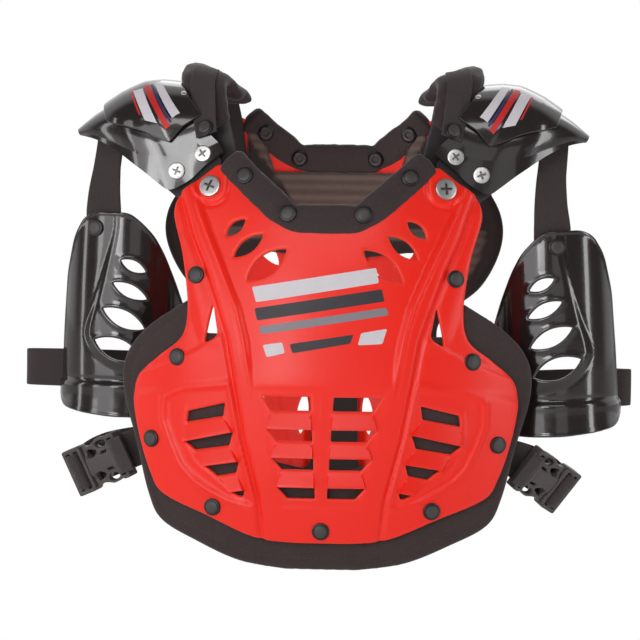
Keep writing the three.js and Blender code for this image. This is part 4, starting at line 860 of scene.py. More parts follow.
def linerSurface(panel, flat, faces, depth, thinner, seed, seamLines):
    bound = hill(depth - liner["binding"], 0.9)
    crown = liner["swell"] * ramp(depth, liner["binding"], liner["binding"] + 9)
    wrinkle = liner["wrinkle"] * ripple(np.column_stack([flat, 0 * flat[:, 0]]), 26, seed) * ramp(depth, 4, 12)
    dent = -liner["bindingDent"] * bound + liner["edgeBead"] * hill(depth - 3.4, 2.2)
    for line in seamLines:
        dent = dent - liner["seamDent"] * hill(lineDistance(flat, line), 1.0) * ramp(depth, 1, 3)
    edge = rounded(depth, liner["edgeRadius"])
    outer = onPanel(panel, flat, liner["outer"] - edge + np.minimum(dent, 0.25))
    inner = onPanel(panel, flat, liner["inner"] + thinner + edge - crown - wrinkle)
    return wallOver(faces, outer, inner, flip=panel is back)


def frontLinerOutline():
    outer, inner = toFlat(front, frontLinerOuter), toFlat(front, frontLinerInner)
    flip = np.array((-1, 1))
    return np.vstack([outer, (outer * flip)[-2::-1], inner * flip, inner[-2::-1]])


def makeFrontLiner():
    flat, faces, depth = meshRegion(frontLinerOutline(), [], 2.6, liner["rings"])
    seams = [toFlat(front, [(u * 0.97, 0.4), (u, -0.1)]) for u in (-0.3, 0.3)]
    points, made = linerSurface(front, flat, faces, depth, 0, 5, seams)
    piece = addPiece("frontLiner", points, made, foamCloth, ["front_liner"], 60)


# The back liner follows the back plate's outline, a little larger, up to its own upper edge.
backLining = {"centre": 0.47, "grow": 1.055, "top": 0.853, "window": 9, "thinTop": 3.6, "border": 11.0,
              "spine": 0.15, "spineTop": 0.66, "borderTop": 0.8, "slantFrom": 0.72}
# The flap behind the collar's arm, and the window beside the spine.
backLinerFlap = [(0.41, 0.853), (0.46, 0.915), (0.52, 0.955), (0.575, 0.955), (0.59, 0.853)]
backLinerWindow = [(0.13, 0.64), (0.55, 0.66), (0.72, 0.61), (0.5, 0.47), (0.52, 0.38), (0.66, 0.27), (0.6, 0.15),
                   (0.16, 0.11)]


def backHeight(share):
    return toFlat(back, [(0, share)])[0, 1]


# The dark parts of the lining: its border, the edge beside the neck and the spine.
def darkLining(flat, depth):
    across, level = shares(back, flat)
    top, border = backLining["top"], backLining["border"]
    edge = ramp(-depth, -border, 1.5 - border) * (level < backLining["borderTop"])
    slant = ramp(np.abs(across) - 0.42 + 1.9 * (top - level), -0.01, 0.01) * (level > backLining["slantFrom"])
    fromSpine = np.abs(flat[:, 0]) - backLining["spine"] * back["halfWidth"]
    middle = ramp(-fromSpine, -0.8, 0.8) * (flat[:, 1] < backHeight(backLining["spineTop"]))
    return np.maximum(np.maximum(edge, slant), middle)


def makeBackLiner():
    centre, grow, top = backLining["centre"], backLining["grow"], backLining["top"]
    half = backHalf.copy()
    half[:, 0] *= grow
    half[:, 1] = centre + (half[:, 1] - centre) * grow
    half = half[half[:, 1] < top]
    half = np.vstack([[(0, top)], backLinerFlap, [(half[0, 0], top)], half])
    windows = bothSides([softened(toFlat(back, backLinerWindow), backLining["window"])])
    flat, faces, depth = meshRegion(wholeOutline(toFlat(back, half)), windows, 3.0, liner["rings"])
    seams = [toFlat(back, [(-1.2, v), (1.2, v)]) for v in (0.7, 0.075)]
    thinner = backLining["thinTop"] * ramp(flat[:, 1], backHeight(0.78), backHeight(0.84))
    points, made = linerSurface(back, flat, faces, depth, thinner, 9, seams)
    marks = {"dark": np.tile(darkLining(flat, depth), 2)}
    piece = addPiece("backLiner", points, made, liningCloth, ["back_liner"], 60, marks=marks)


# Closed rings joined in order, the first and last filled.
def joinRings(rings):
    rings = [np.asarray(ring, float) for ring in rings]
    sides = len(rings[0])
    faces = []
    for r in range(len(rings) - 1):
        for s in range(sides):
            a, b = r * sides + s, r * sides + (s + 1) % sides
            faces.append((a, b, b + sides, a + sides))
    last = (len(rings) - 1) * sides
    faces.append(tuple(range(sides))[::-1])
    faces.append(tuple(range(last, last + sides)))
    return np.vstack(rings), faces


def unit(vectors):
    vectors = np.asarray(vectors, float)
    return vectors / np.maximum(np.linalg.norm(vectors, axis=-1, keepdims=True), 1e-9)


# The length run along a line at each of its points.
def lengthsAlong(line):
    return np.concatenate([[0], np.cumsum(np.linalg.norm(np.diff(line, axis=0), axis=1))])


# Rows of values read at the wanted places between the known ones.
def readAt(wanted, known, values):
    values = np.asarray(values)
    return np.stack([np.interp(wanted, known, values[:, k]) for k in range(values.shape[1])], 1)


def byLength(line, count):
    run = lengthsAlong(line)
    return readAt(np.linspace(0, run[-1], count), run, line)


# A smooth curve through the points, sampled evenly along its length.
def throughPoints(points, count, divisions=24):
    points = np.asarray(points, float)
    ends = np.vstack([2 * points[0] - points[1], points, 2 * points[-1] - points[-2]])
    dense = []
    for i in range(1, len(ends) - 2):
        p0, p1, p2, p3 = ends[i - 1:i + 3]
        d0, d1, d2 = (max(np.linalg.norm(b - a) ** 0.5, 1e-4) for a, b in ((p0, p1), (p1, p2), (p2, p3)))
        m1 = ((p1 - p0) / d0 - (p2 - p0) / (d0 + d1) + (p2 - p1) / d1) * d1
        m2 = ((p2 - p1) / d1 - (p3 - p1) / (d1 + d2) + (p3 - p2) / d2) * d1
        for t in np.linspace(0, 1, divisions + 1)[:-1]:
            dense.append(p1 + m1 * t + (3 * (p2 - p1) - 2 * m1 - m2) * t ** 2 + (2 * (p1 - p2) + m1 + m2) * t ** 3)
    dense.append(ends[-2])
    return byLength(np.array(dense), count)


# The way across a path is squared to the path, and the way out is square to both.
def squared(along, across):
    across = unit(across - along * (across * along).sum(1, keepdims=True))
    return across, np.cross(across, along)


def padRing(point, across, out, width, thickness, sides=28, square=2.7):
    angles = np.arange(sides) * 2 * math.pi / sides
    c, s = np.cos(angles), np.sin(angles)
    a = np.sign(c) * np.abs(c) ** (2 / square) * width / 2
    b = np.sign(s) * np.abs(s) ** (2 / square) * thickness / 2
    return point + a[:, None] * across + b[:, None] * out


# Closes a pad towards its ends, within a reach of its length, down to the least size.
def roundEnd(t, reach, least):
    ease = min(1, min(t, 1 - t) / reach)
    return least + (1 - least) * (1 - (1 - ease) ** 2) ** 0.5


frontCollarPath = [(0, 0.858), (0.17, 0.859), (0.226, 0.876), (0.426, 0.966), (0.525, 1.016)]
backCollarPath = [(0, 0.886), (0.235, 0.886), (0.3, 0.899), (0.5, 0.962), (0.57, 0.988)]
collar = {"width": 20.0, "thickness": 10.0, "lift": -1.25, "bend": 7, "pinch": 0.2, "pinchWide": 0.04,
          "pinchReach": 8, "corner": 0.16, "cornerWide": 0.07, "cornerReach": 5, "end": 0.28, "endReach": 0.03,
          "tip": 0.25, "ripples": ((17, 0.16), (6, 0.1))}
collarRivets = {"collar": [(0.193, 0.868), (0.424, 0.966)], "neck": [(0.25, 0.888), (0.47, 0.95)]}


# Cloth over foam, which swells and sinks a little everywhere.
def rippled(points, centre, ripples, seeds):
    total = 0
    for (size, height), seed in zip(ripples, seeds):
        total = total + height * ripple(points, size, seed)
    return points + unit(points - centre) * total[:, None]


def makeCollar(name, node, panel, path, rivets, seed):
    half = toFlat(panel, path)
    whole = np.vstack([(half * (-1, 1))[:0:-1], half])
    count = 110
    flat = byLength(softenedLine(whole, collar["bend"]), count)
    places = onPanel(panel, flat, collar["lift"])
    normals = panelNormal(panel, flat)
    across = unit(np.cross(normals, unit(np.gradient(places, axis=0))))
    spots = toFlat(panel, rivets)
    spots = np.vstack([spots, spots * (-1, 1)])
    corners = np.vstack([half[1:3].mean(0), half[1:3].mean(0) * (-1, 1)])
    rings = []
    for i in range(count):
        t = i / (count - 1)
        end = roundEnd(t, collar["endReach"], collar["end"]) if 0 < t < 1 else collar["tip"]
        pinch = hill(min(np.linalg.norm(spots - flat[i], axis=1)), collar["pinchReach"])
        bend = hill(min(np.linalg.norm(corners - flat[i], axis=1)), collar["cornerReach"])
        thickness = collar["thickness"] * end * (1 - collar["pinch"] * pinch - collar["corner"] * bend)
        width = collar["width"] * end * (1 - collar["pinchWide"] * pinch - collar["cornerWide"] * bend)
        rings.append(padRing(places[i], across[i], normals[i], width, thickness))
    points, faces = joinRings(rings)
    centre = np.repeat(places, len(rings[0]), axis=0)
    points = rippled(points, centre, collar["ripples"], (seed, seed + 1))
    piece = addPiece(name, points, faces, collarCloth, [node], 70, outwards=True)


makeFrontLiner()
makeBackLiner()
makeCollar("frontCollar", "front_collar", front, frontCollarPath, collarRivets["collar"], 21)
makeCollar("backCollar", "back_collar", back, backCollarPath, collarRivets["neck"], 31)
print("padding ready")


web = {"width": 25.0, "thickness": 1.6, "wave": 17.0}
webSection = [(-0.5, 0), (-0.493, 0.32), (-0.465, 0.47), (-0.42, 0.5), (-0.3, 0.5), (-0.15, 0.5), (0, 0.5),
              (0.15, 0.5), (0.3, 0.5), (0.42, 0.5), (0.465, 0.47), (0.493, 0.32), (0.5, 0)]
webSection += [(x, -y) for x, y in webSection[-2:0:-1]]


# A flat strip. Its UV map gives the place across and along it in millimetres, the lower side a little further across.
def makeStrip(name, node, points, across, widths, material=webbing, thickness=web["thickness"],
              wave=0.0):
    run = lengthsAlong(points)
    across, out = squared(unit(np.gradient(points, axis=0)), np.asarray(across, float))
    widths = np.broadcast_to(widths, len(points))
    bulge = wave * np.sin(run / web["wave"] + 1)
    rings, maps = [], []
    for i, point in enumerate(points):
        rings.append([point + across[i] * a * widths[i] + out[i] * (b * thickness + bulge[i] * (0.25 - a * a))
                      for a, b in webSection])
        maps += [(a * widths[i] + (0 if b >= 0 else 0.4), run[i]) for a, b in webSection]
    verts, faces = joinRings(rings)
    addPiece(name, verts, faces, material, [node], 60, run=maps, outwards=True)


def lerp(first, second, share):
    return np.asarray(first, float) + (np.asarray(second, float) - np.asarray(first, float)) * share


archTopX = 0.677 * front["halfWidth"]
shoulderTop = 7.0
strip = {"width": 24.0, "thickness": 2.0, "behind": 2.5}  # behind: its middle, from the plate's inner face
archTable = [
    {"x": 0.885, "v": 0.904, "panel": front},
    {"x": 0.885, "v": 0.976, "panel": front},
    {"x": 0.9, "v": 1.056, "panel": front, "away": 1.5},
    {"x": 0.94, "y": -0.69, "rise": 0.576},
    {"x": 0.99, "y": -0.49, "rise": 0.898},
    {"x": 1, "y": -0.1, "rise": 1},
    {"x": 0.966, "y": 0.332, "rise": 0.966},
    {"x": 0.92, "y": 0.735, "rise": 0.729},
    {"x": 0.897, "v": 0.954, "panel": back},
    {"x": 0.874, "v": 0.884, "panel": back},
]


def archSeat(row):
    panel = row["panel"]
    behind = plate["wall"] + (plate["relief"] if panel is front else 0) + strip["behind"] + row.get("away", 0)
    flat = np.array([[row["x"] * archTopX, panel["top"] - panel["height"] * (1 - row["v"])]])
    return onPanel(panel, flat, -behind)[0], panelNormal(panel, flat)[0]


def archEnd(row):
    point, normal = archSeat(row)
    return point[1], -normal[0] / normal[1]


archEnds = {"front": archEnd(archTable[1]), "back": archEnd(archTable[8])}


def archPoint(row):
    if "panel" in row:
        return archSeat(row)[0]
    depth = -archEnds["front"][0] if row["y"] < 0 else archEnds["back"][0]
    height = front["top"] + row["rise"] * (shoulderTop - front["top"])
    return np.array([row["x"] * archTopX, row["y"] * depth, height])


archSteps = 600
archLine = throughPoints([archPoint(row) for row in archTable], archSteps + 1)


# Shares of the arch's length, with the places there and the ways across and out.
def archFrames(shareFrom, shareTo, count):
    steps = np.linspace(shareFrom, shareTo, count)
    places, known = steps * archSteps, np.arange(archSteps + 1)
    points = readAt(places, known, archLine)
    along = unit(readAt(places, known, unit(np.gradient(archLine, axis=0))))
    slopes = []
    for _, y, _ in points:
        endY, slope = archEnds["front"] if y < 0 else archEnds["back"]
        slopes.append((1, slope * min(1, y / endY), 0))
    across, out = squared(along, np.array(slopes))
    out = unit(out)
    up = (out * np.stack([0 * steps, points[:, 1], points[:, 2] + front["height"] / 2], 1)).sum(1)
    out[up < 0] *= -1
    return steps, points, across, out


def sided(points, sign):
    return np.asarray(points) * (sign, 1, 1)


def nodeOn(node, side):
    return node + "_" + side.lower()


pad = {"from": 5 / 18, "to": 13.6 / 18, "width": 31.0, "thickness": 14.0, "flare": 13.0, "tilt": 0.62, "swell": 0.2,
       "waist": 0.05, "waistAt": (0.22, 0.8), "reach": 0.05, "end": 0.35, "sides": 32,
       "ripples": ((15, 0.45), (6, 0.25))}
snapStrap = {"from": 0.25, "to": 0.49, "width": 17.0, "end": 15.0, "rise": 12.0, "ease": 1.6}


# The pad turns and spreads towards the neck behind the shoulder's top. Gives its middle, its two ways and its spread.
def padFrame(t, point, across, out):
    flare = pad["flare"] * ramp(t, 0.28, 0.8)
    tilt = pad["tilt"] * flare / pad["flare"]
    sideways = across * math.cos(tilt) + out * math.sin(tilt)
    upwards = out * math.cos(tilt) - across * math.sin(tilt)
    return point - sideways * flare / 2, sideways, upwards, flare


def padSwell(t):
    return 1 - pad["swell"] + pad["swell"] * np.sin(math.pi * t)


def makeShoulderPad(side, sign):
    count = 72
    _, points, across, out = archFrames(pad["from"], pad["to"], count)
    rings = []
    for i in range(count):
        t = i / (count - 1)
        end = roundEnd(t, pad["reach"], pad["end"])
        waist = 1 - sum(pad["waist"] * hill(t - at, pad["reach"]) for at in pad["waistAt"])
        middle, sideways, upwards, flare = padFrame(t, points[i], across[i], out[i])
        width = (pad["width"] * padSwell(t) * waist + flare) * end
        thickness = pad["thickness"] * padSwell(t) * end * waist
        rings.append(padRing(middle, sideways, upwards, width, thickness, pad["sides"], 2.5))
    verts, faces = joinRings(rings)
    verts = rippled(verts, np.repeat(points, pad["sides"], axis=0), pad["ripples"], (41, 43))
    piece = addPiece("shoulderPad" + side, sided(verts, sign), faces, collarCloth,
                     [nodeOn("shoulder_pad", side)], 70, outwards=True)


# The strap's middle line over the pad, its ways across and its width.
def snapPath(count=44):
    steps, points, across, out = archFrames(snapStrap["from"], snapStrap["to"], count)
    ease = snapStrap["ease"] * np.linspace(0, 1, count)
    onPad = np.maximum(0, (steps - pad["from"]) / (pad["to"] - pad["from"]))
    lift = pad["thickness"] * padSwell(onPad) / 2 + plate["seat"] + web["thickness"] / 2
    lift += snapStrap["rise"] * np.maximum(0, 1 - ease)
    width = snapStrap["end"] + (snapStrap["width"] - snapStrap["end"]) * np.minimum(1, ease)
    path, ways = [], []
    for i in range(count):
        middle, sideways, upwards, _ = padFrame(onPad[i], points[i], across[i], out[i])
        path.append(middle + upwards * lift[i])
        ways.append(sideways)
    return np.array(path), np.array(ways), width


def makeSnapStrap(side, sign):
    points, across, width = snapPath()
    makeStrip("snapStrap" + side, nodeOn("snap_strap", side), sided(points, sign), sided(across, sign), width)


def makeShoulderStrip(side, sign):
    _, points, across, _ = archFrames(0, 1, 90)
    makeStrip("shoulderStrip" + side, nodeOn("shoulder_strip", side), sided(points, sign), sided(across, sign),
              strip["width"], mattBlack, strip["thickness"])


for side, sign in (("Left", 1), ("Right", -1)):
    makeShoulderStrip(side, sign)
    makeShoulderPad(side, sign)
    makeSnapStrap(side, sign)
print("shoulder straps ready")


cap = {"reach": 173.0, "inner": 0.553 * front["halfWidth"], "hang": 70.0, "ridgeY": 2.0, "wall": 2.2, "bulge": 0.75,
       "backReach": 1.22, "behindPlate": 8, "rounding": 0.55, "upperRounding": 0.5}
plateCorner = float(panelDepth(front, 0.58 * front["halfWidth"], front["top"]))
cap["halfDepth"] = cap["ridgeY"] - plateCorner - cap["behindPlate"]
# Stations from the neck side out to the tip: x, z and the depth's share of the lower edge, the knee and the ridge.
capTable = [
    {"edge": (0, 0.62), "knee": (0.03, 0.543, 1.035), "ridge": (0.363, 0.086)},
    {"edge": (0.118, 0.75), "knee": (0.147, 0.614, 1.025), "ridge": (0.422, 0.093)},
    {"edge": (0.225, 0.893), "knee": (0.255, 0.657, 1.015), "ridge": (0.49, 0.107)},
    {"edge": (0.343, 1, 1.05), "knee": (0.353, 0.671, 1.005), "ridge": (0.559, 0.129)},
    {"edge": (0.422, 0.943, 1.024), "knee": (0.441, 0.671, 1), "ridge": (0.637, 0.157)},
    {"edge": (0.549, 0.8, 0.976), "knee": (0.569, 0.643, 0.951), "ridge": (0.716, 0.186)},
    {"edge": (0.676, 0.664, 0.83), "knee": (0.696, 0.571, 0.805), "ridge": (0.794, 0.229)},
    {"edge": (0.794, 0.562, 0.66), "knee": (0.809, 0.508, 0.634), "ridge": (0.873, 0.3)},
    {"edge": (0.892, 0.512, 0.463), "knee": (0.902, 0.47, 0.44), "ridge": (0.941, 0.378)},
    {"edge": (0.97, 0.493, 0.244), "knee": (0.975, 0.471, 0.22), "ridge": (1, 0.45)},
]
upperCap = {"lifts": [7.5, 9.2, 9, 7.5, 5.5, 3.4, 2], "closing": 0.45,
            "shifts": [(0, -6), (1, 1), (2, 5), (4, 5.5), (6, 2)],
            "limits": [(0, 66), (1, 74), (2, 84), (3, 78), (4, 70), (6, 60)]}


def capPlace(place, ridge=False):
    x = cap["inner"] + place[0] * (cap["reach"] - cap["inner"])
    z = -place[1] * cap["hang"]
    if ridge:
        return np.array([x, cap["ridgeY"], z])
    if len(place) == 3:
        return np.array([x, cap["ridgeY"] - place[2] * cap["halfDepth"], z])
    return onPanel(front, np.array([[x, z]]), -plate["wall"])[0]


def capArc(knee, ridge, angles):
    towards, fall = np.sin(angles) ** cap["bulge"], np.cos(angles) ** cap["bulge"]
    return np.stack([ridge[0] + (knee[0] - ridge[0]) * (1 - fall), ridge[1] + (knee[1] - ridge[1]) * towards,
                     knee[2] + (ridge[2] - knee[2]) * fall], 1)


# A line of the cap table, read at places between its stations.
def capLine(key, places):
    points = np.array([capPlace(row[key], key == "ridge") for row in capTable], float)
    last = len(points) - 1
    line = []
    for place in places:
        i = int(min(place, last - 0.0001))
        near = points[max(i - 1, 0)], points[i], points[min(i + 1, last)], points[min(i + 2, last)]
        line.append(curveAt(*near, place - i))
    return np.array(line)


def gridNormals(grid):
    return unit(np.cross(np.gradient(grid, axis=1), np.gradient(grid, axis=0)))


# A closed wall between two grids of points.
def wallGrid(inner, outer):
    rows, columns = inner.shape[:2]

    def at(layer, r, c):
        return layer * rows * columns + r * columns + c

    faces = []
    for r in range(rows - 1):
        for c in range(columns - 1):
            faces.append((at(0, r, c), at(0, r, c + 1), at(0, r + 1, c + 1), at(0, r + 1, c)))
            faces.append((at(1, r, c), at(1, r + 1, c), at(1, r + 1, c + 1), at(1, r, c + 1)))
    for r in range(rows - 1):
        for c in (0, columns - 1):
            faces.append((at(0, r, c), at(0, r + 1, c), at(1, r + 1, c), at(1, r, c)))
    for c in range(columns - 1):
        for r in (0, rows - 1):
            faces.append((at(0, r, c), at(1, r, c), at(1, r, c + 1), at(0, r, c + 1)))
    return np.vstack([inner.reshape(-1, 3), outer.reshape(-1, 3)]), faces


def bevel(piece, width, angle=50):
    modifier = piece.modifiers.new("bevel", "BEVEL")
    modifier.width = width * mm
    modifier.segments = 2
    modifier.limit_method = "ANGLE"
    modifier.angle_limit = math.radians(angle)


def behindRidge(y):
    return cap["ridgeY"] + (cap["ridgeY"] - y) * cap["backReach"]


def capSkin(places, arcAngles, flange):
    grid = []
    for knee, edge, ridge in zip(*(capLine(key, places) for key in ("knee", "edge", "ridge"))):
        half = [*capArc(knee, ridge, arcAngles), *[lerp(knee, edge, t) for t in flange]]
        behind = [(p[0], behindRidge(p[1]), p[2]) for p in half[1:]]
        grid.append([*behind[::-1], *half])
    return np.array(grid)


# Rows along the cap and shares of its width, from the edge behind over the ridge to the edge in front.
def upperSkin(places, across, lift):
    limits = np.interp(places, *zip(*upperCap["limits"]))
    base = []
    for knee, ridge, limit in zip(capLine("knee", places), capLine("ridge", places), limits):
        arc = capArc(knee, ridge, np.radians(np.abs(across) * limit))
        arc[across < 0, 1] = behindRidge(arc[across < 0, 1])
        base.append(arc)
    base = np.array(base)
    base[:, :, 0] += np.interp(places, *zip(*upperCap["shifts"]))[:, None]
    near = 1 - upperCap["closing"] * across ** 2
    height = np.interp(places, range(7), upperCap["lifts"])[:, None] * near[None, :] + lift
    return base + gridNormals(base) * height[:, :, None]


def addCap(name, node, side, sign, inner, outer, rounding):
    verts, faces = wallGrid(inner, outer)
    piece = addPiece(name + side, sided(verts, sign), faces, glossBlack, [nodeOn(node, side)], 35,
                     outwards=True)
    bevel(piece, rounding)


def makeShoulderCap(side, sign):
    angles = np.linspace(0, math.pi / 2, 15)[:-1]
    inner = capSkin(np.linspace(0, 9, 64), angles, (0, 0.04, 0.35, 0.7, 0.96, 1))
    outer = inner + gridNormals(inner) * cap["wall"]
    addCap("shoulderCap", "shoulder_cap", side, sign, inner, outer, cap["rounding"])


def makeUpperCap(side, sign):
    places, across = np.linspace(0, 6, 48), np.linspace(-1, 1, 27)
    under, over = upperSkin(places, across, 0), upperSkin(places, across, cap["wall"])
    addCap("upperCap", "upper_cap", side, sign, under, over, cap["upperRounding"])


for side, sign in (("Left", 1), ("Right", -1)):
    makeShoulderCap(side, sign)
    makeUpperCap(side, sign)
print("caps ready")


guard = {"half": 40.0, "reach": 41.2, "bulge": 36.0, "height": 139.0, "top": -86.0, "edgeY": 10.0, "wall": 2.2,
         "swell": 0.04, "cuffFrom": 0.83, "cuff": 1.8, "face": 1.1, "groove": 0.25, "cuffGroove": 0.7, "flare": 0.9,
         "ventLip": 0.55, "edgeLip": 0.5, "highlightReach": 0.6, "rivetDown": 0.08}
sides = {
    "Left": {"sign": 1, "spread": 150.0, "hang": 8.0, "lean": -2.5, "hangX": 154.0, "strapShift": -4.0, "rivet": 2.5,
             "bandReach": 13.0, "droop": 37, "turn": 47, "buckleX": 134.0, "buckleZ": -253.0},
    "Right": {"sign": -1, "spread": 140.0, "hang": 0.0, "lean": -1.0, "hangX": 149.0, "strapShift": 5.0, "rivet": 18.0,
              "bandReach": 31.0, "droop": 25, "turn": 34, "buckleX": 137.0, "buckleZ": -249.0},
}
guardOutline = [
    (-0.1, 0), (-0.3, -0.045), (-0.5, -0.11), (-0.66, -0.2), (-0.82, -0.33), (-0.96, -0.47), (-1, -0.62),
    (-0.98, -0.98), (-0.5, -1), (0.1, -1), (0.6, -0.985), (0.9, -0.965), (0.99, -0.9), (0.97, -0.6), (0.93, -0.3),
    (0.82, -0.12), (0.66, -0.03), (0.48, 0),
]
guardVents = [(-0.2, -0.26, 0.45, 0.175, 25), (-0.155, -0.382, 0.625, 0.21, 25), (-0.06, -0.518, 0.775, 0.275, 25),
              (0.03, -0.668, 0.85, 0.35, 20)]
guardCrease = [(7, 0), (7, -11), (11.5, -32), (18.2, -59), (23.5, -77), (24, -85), (19.6, -95), (10.8, -103),
               (-2, -108), (-44, -112)]


def guardSwell(z):
    return 1 + guard["swell"] * np.sin(math.pi * np.clip(-z / guard["height"], 0, 1))


# Unrolls places seen from the front onto the guard's round face.
def guardRound(points):
    x, z = points[:, 0], points[:, 1]
    limit = math.radians(90 * 0.98)
    angle = np.clip(np.arcsin(np.clip(x / (guard["reach"] * guardSwell(z)), -1, 1)), -limit, limit)
    return np.stack([angle * guard["reach"], z], 1)


def guardSurface(flat, lift):
    angle, z = flat[:, 0] / guard["reach"], flat[:, 1]
    cuff = guard["cuff"] * ramp(-z / guard["height"], guard["cuffFrom"] - 0.012, guard["cuffFrom"] + 0.016)
    x = (guard["reach"] * guardSwell(z) + cuff + lift) * np.sin(angle)
    y = -(guard["bulge"] * guardSwell(z) + cuff + lift) * np.cos(angle)
    return np.stack([x, y, z], 1)


def placeGuard(points, side):
    data = sides[side]
    lean = math.radians(data["lean"])
    x, y, z = np.asarray(points, float).T
    turned = np.stack([x * math.cos(lean) + z * math.sin(lean), y, -x * math.sin(lean) + z * math.cos(lean)], 1)
    turned += (data["spread"], guard["edgeY"], guard["top"] - data["hang"])
    return sided(turned, data["sign"])


def guardLift(flat):
    crease = guardRound(throughPoints(guardCrease, 90))
    face = insidePolygon(flat, np.vstack([crease, [(-90, -112), (-90, 20), (7, 20)]]))
    away = lineDistance(flat, crease)
    inwards = np.where(face, away, -away)
    lift = guard["face"] * ramp(inwards, -0.4, 5.0) - guard["groove"] * hill(inwards + 0.6, 0.9)
    belowCuff = -flat[:, 1] - guard["cuffFrom"] * guard["height"]
    return lift - guard["cuffGroove"] * hill(belowCuff, 1.6) + guard["flare"] * ramp(belowCuff, 6, 24)


def makeArmGuard(side):
    corners = np.array(guardOutline) * (guard["half"] * 1.06, guard["height"])
    outline = guardRound(evenly(softened(corners, 7, 5), 2.0, True))
    half = guard["half"]
    holes = [guardRound(leaf(x * half, z * guard["height"], length * half, width * half, tilt, 16))
             for x, z, length, width, tilt in guardVents]
    flat, faces, depth = meshRegion(outline, holes, 1.8, (0.15, 0.45, 1.0, 2.0))
    fromVent = np.min([lineDistance(flat, np.vstack([hole, hole[:1]])) for hole in holes], axis=0)
    lift = guardLift(flat) + guard["ventLip"] * hill(fromVent - 1.2, 1.1)
    lift += guard["edgeLip"] * hill(depth - 0.9, 0.8) * (fromVent > 3)
    outer = guardSurface(flat, lift - rounded(depth, 0.8))
    inner = guardSurface(flat, lift - guard["wall"] + rounded(depth, 0.5))
    verts, made = wallOver(faces, outer, inner, flip=sides[side]["sign"] < 0)
    # Painted highlight: the rim mark lightens the colour near the outer edges.
    rim = np.tile(np.exp(-depth / guard["highlightReach"]), 2)
    addPiece("armGuard" + side, placeGuard(verts, side), made, glossBlack,
             [nodeOn("arm_guard", side)], 50, marks={"rim": rim})


# The band's middle line seen from above: over the guard's inside, round the arm and back.
armBand = {"over": [(-0.965, -0.22), (-0.97, 0.11), (-0.78, 0.44), (0, 0.66), (1, 0.61)],
           "back": [(1.05, 0.1), (0.94, -0.08), (0.93, -0.28)], "level": -0.79, "fold": [(-3, 13), (0, 10), (-3, 7)],
           "wave": 0.5}
hangStrap = {"under": 0.873, "shoulder": 0.8, "seat": 3.4, "wave": 0.8, "shifted": (30, 86)}


def makeArmBand(side):
    inside = guard["reach"] - guard["wall"] - plate["seat"] - web["thickness"] / 2
    outer = inside + sides[side]["bandReach"]
    path = [(x * inside, y * guard["bulge"]) for x, y in armBand["over"]]
    path += [(outer + x, y) for x, y in armBand["fold"]]
    path += [(x * inside, y * guard["bulge"]) for x, y in armBand["back"]]
    points = throughPoints([(x, y, armBand["level"] * guard["height"]) for x, y in path], 120)
    across = np.tile((0.0, 0.0, 1.0), (len(points), 1))
    makeStrip("armBand" + side, nodeOn("arm_band", side), placeGuard(points, side), across, web["width"],
              wave=armBand["wave"])


def makeHangStrap(side):
    data = sides[side]
    lower = guard["top"] - data["hang"]
    yawLow = math.degrees(math.asin((data["hangX"] - data["spread"]) / guard["half"]))
    seatY = guard["edgeY"] - (guard["bulge"] - guard["wall"]) * math.cos(math.radians(yawLow))
    seatY += hangStrap["seat"]
    under, shoulder = hangStrap["under"] * cap["reach"], -hangStrap["shoulder"] * cap["hang"]
    # Each station: its place, its share of the webbing's width and its turn.
    stations = [
        ((under, 0.12 * seatY, -0.292 * cap["hang"]), 0.8, 25),
        ((under, 0.5 * seatY, shoulder), 0.84, 22),
        (((under + data["hangX"]) / 2, 0.8 * seatY, (lower + shoulder) / 2), 0.92, 16),
        ((data["hangX"], seatY, lower + 1.6), 1, yawLow),
        ((data["hangX"], seatY, lower - 20), 1, yawLow),
    ]
    places, widths, yaws = zip(*stations)
    points = throughPoints(places, 60)
    down, levels = -points[:, 2], [-place[2] for place in places]
    points[:, 0] += data["strapShift"] * ramp(down, *hangStrap["shifted"])
    yaw = np.radians(np.interp(down, levels, yaws))
    across = np.stack([np.cos(yaw), np.sin(yaw), 0 * yaw], 1)
    makeStrip("hangStrap" + side, nodeOn("hang_strap", side), sided(points, data["sign"]), sided(across, data["sign"]),
              np.interp(down, levels, widths) * web["width"], wave=hangStrap["wave"])


for side in sides:
    makeArmGuard(side)
    makeArmBand(side)
    makeHangStrap(side)
print("arm guards ready")


buckle = {"thickness": 9.0, "rounding": 0.9, "slot": 13.5, "sunk": 2.1, "groove": 0.5, "away": 22.3}
# Half plans of the buckle's two halves and of their openings, along and across the strap.
bucklePlans = {
    "socket": {
        "outline": [(0, 16.5), (6, 16.5), (8.6, 14.4), (12.5, 16.2), (18, 16.6), (23.5, 14.4), (28, 13.6), (33, 15)],
        "slots": [(2.6, 6.8)],
        "holes": [[(10, 13.2), (13, 14.4), (18, 14.6), (21.5, 12.6), (17.5, 9.6), (12, 9.8)],
                  [(20.4, 8.6), (25, 10.6), (29.8, 11.4), (30.2, 6.2), (24, 5.2)],
                  [(11.5, 7.2), (17.5, 7), (17.5, 5.2), (11.5, 5.4)]],
    },
    "clip": {"outline": [(33.6, 15), (35.5, 16.5), (50.6, 16.5)], "slots": [(36.6, 40.1), (44.1, 47.6)], "holes": []},
}
# The webbing's way through the buckle, along it and through its thickness.
frontRun = [(-5, 6.2), (3.6, 5.8), (5, 4.8), (5, -4.8), (3.6, -5.8), (-7, -5.6)]
backRun = [(17.6, 6.8), (32.6, 5.8), (37, 5.7), (38.35, 4.8), (38.35, -4.8), (39.4, -5.8), (44.8, -5.8), (45.85, -4.8),
           (45.85, 4.8), (47.2, 5.7), (51.6, 6), (58.6, 10.6)]
bendSteps = 9
# Where the straps touch the panels: share of the half width, height over the buckle and lift.
sideStrap = {"start": (0.81, 14, -12.3), "leaves": (0.903, 9, -14.8), "near": (0.945, 4, 3.5), "end": (0.836, 6, 1.9)}


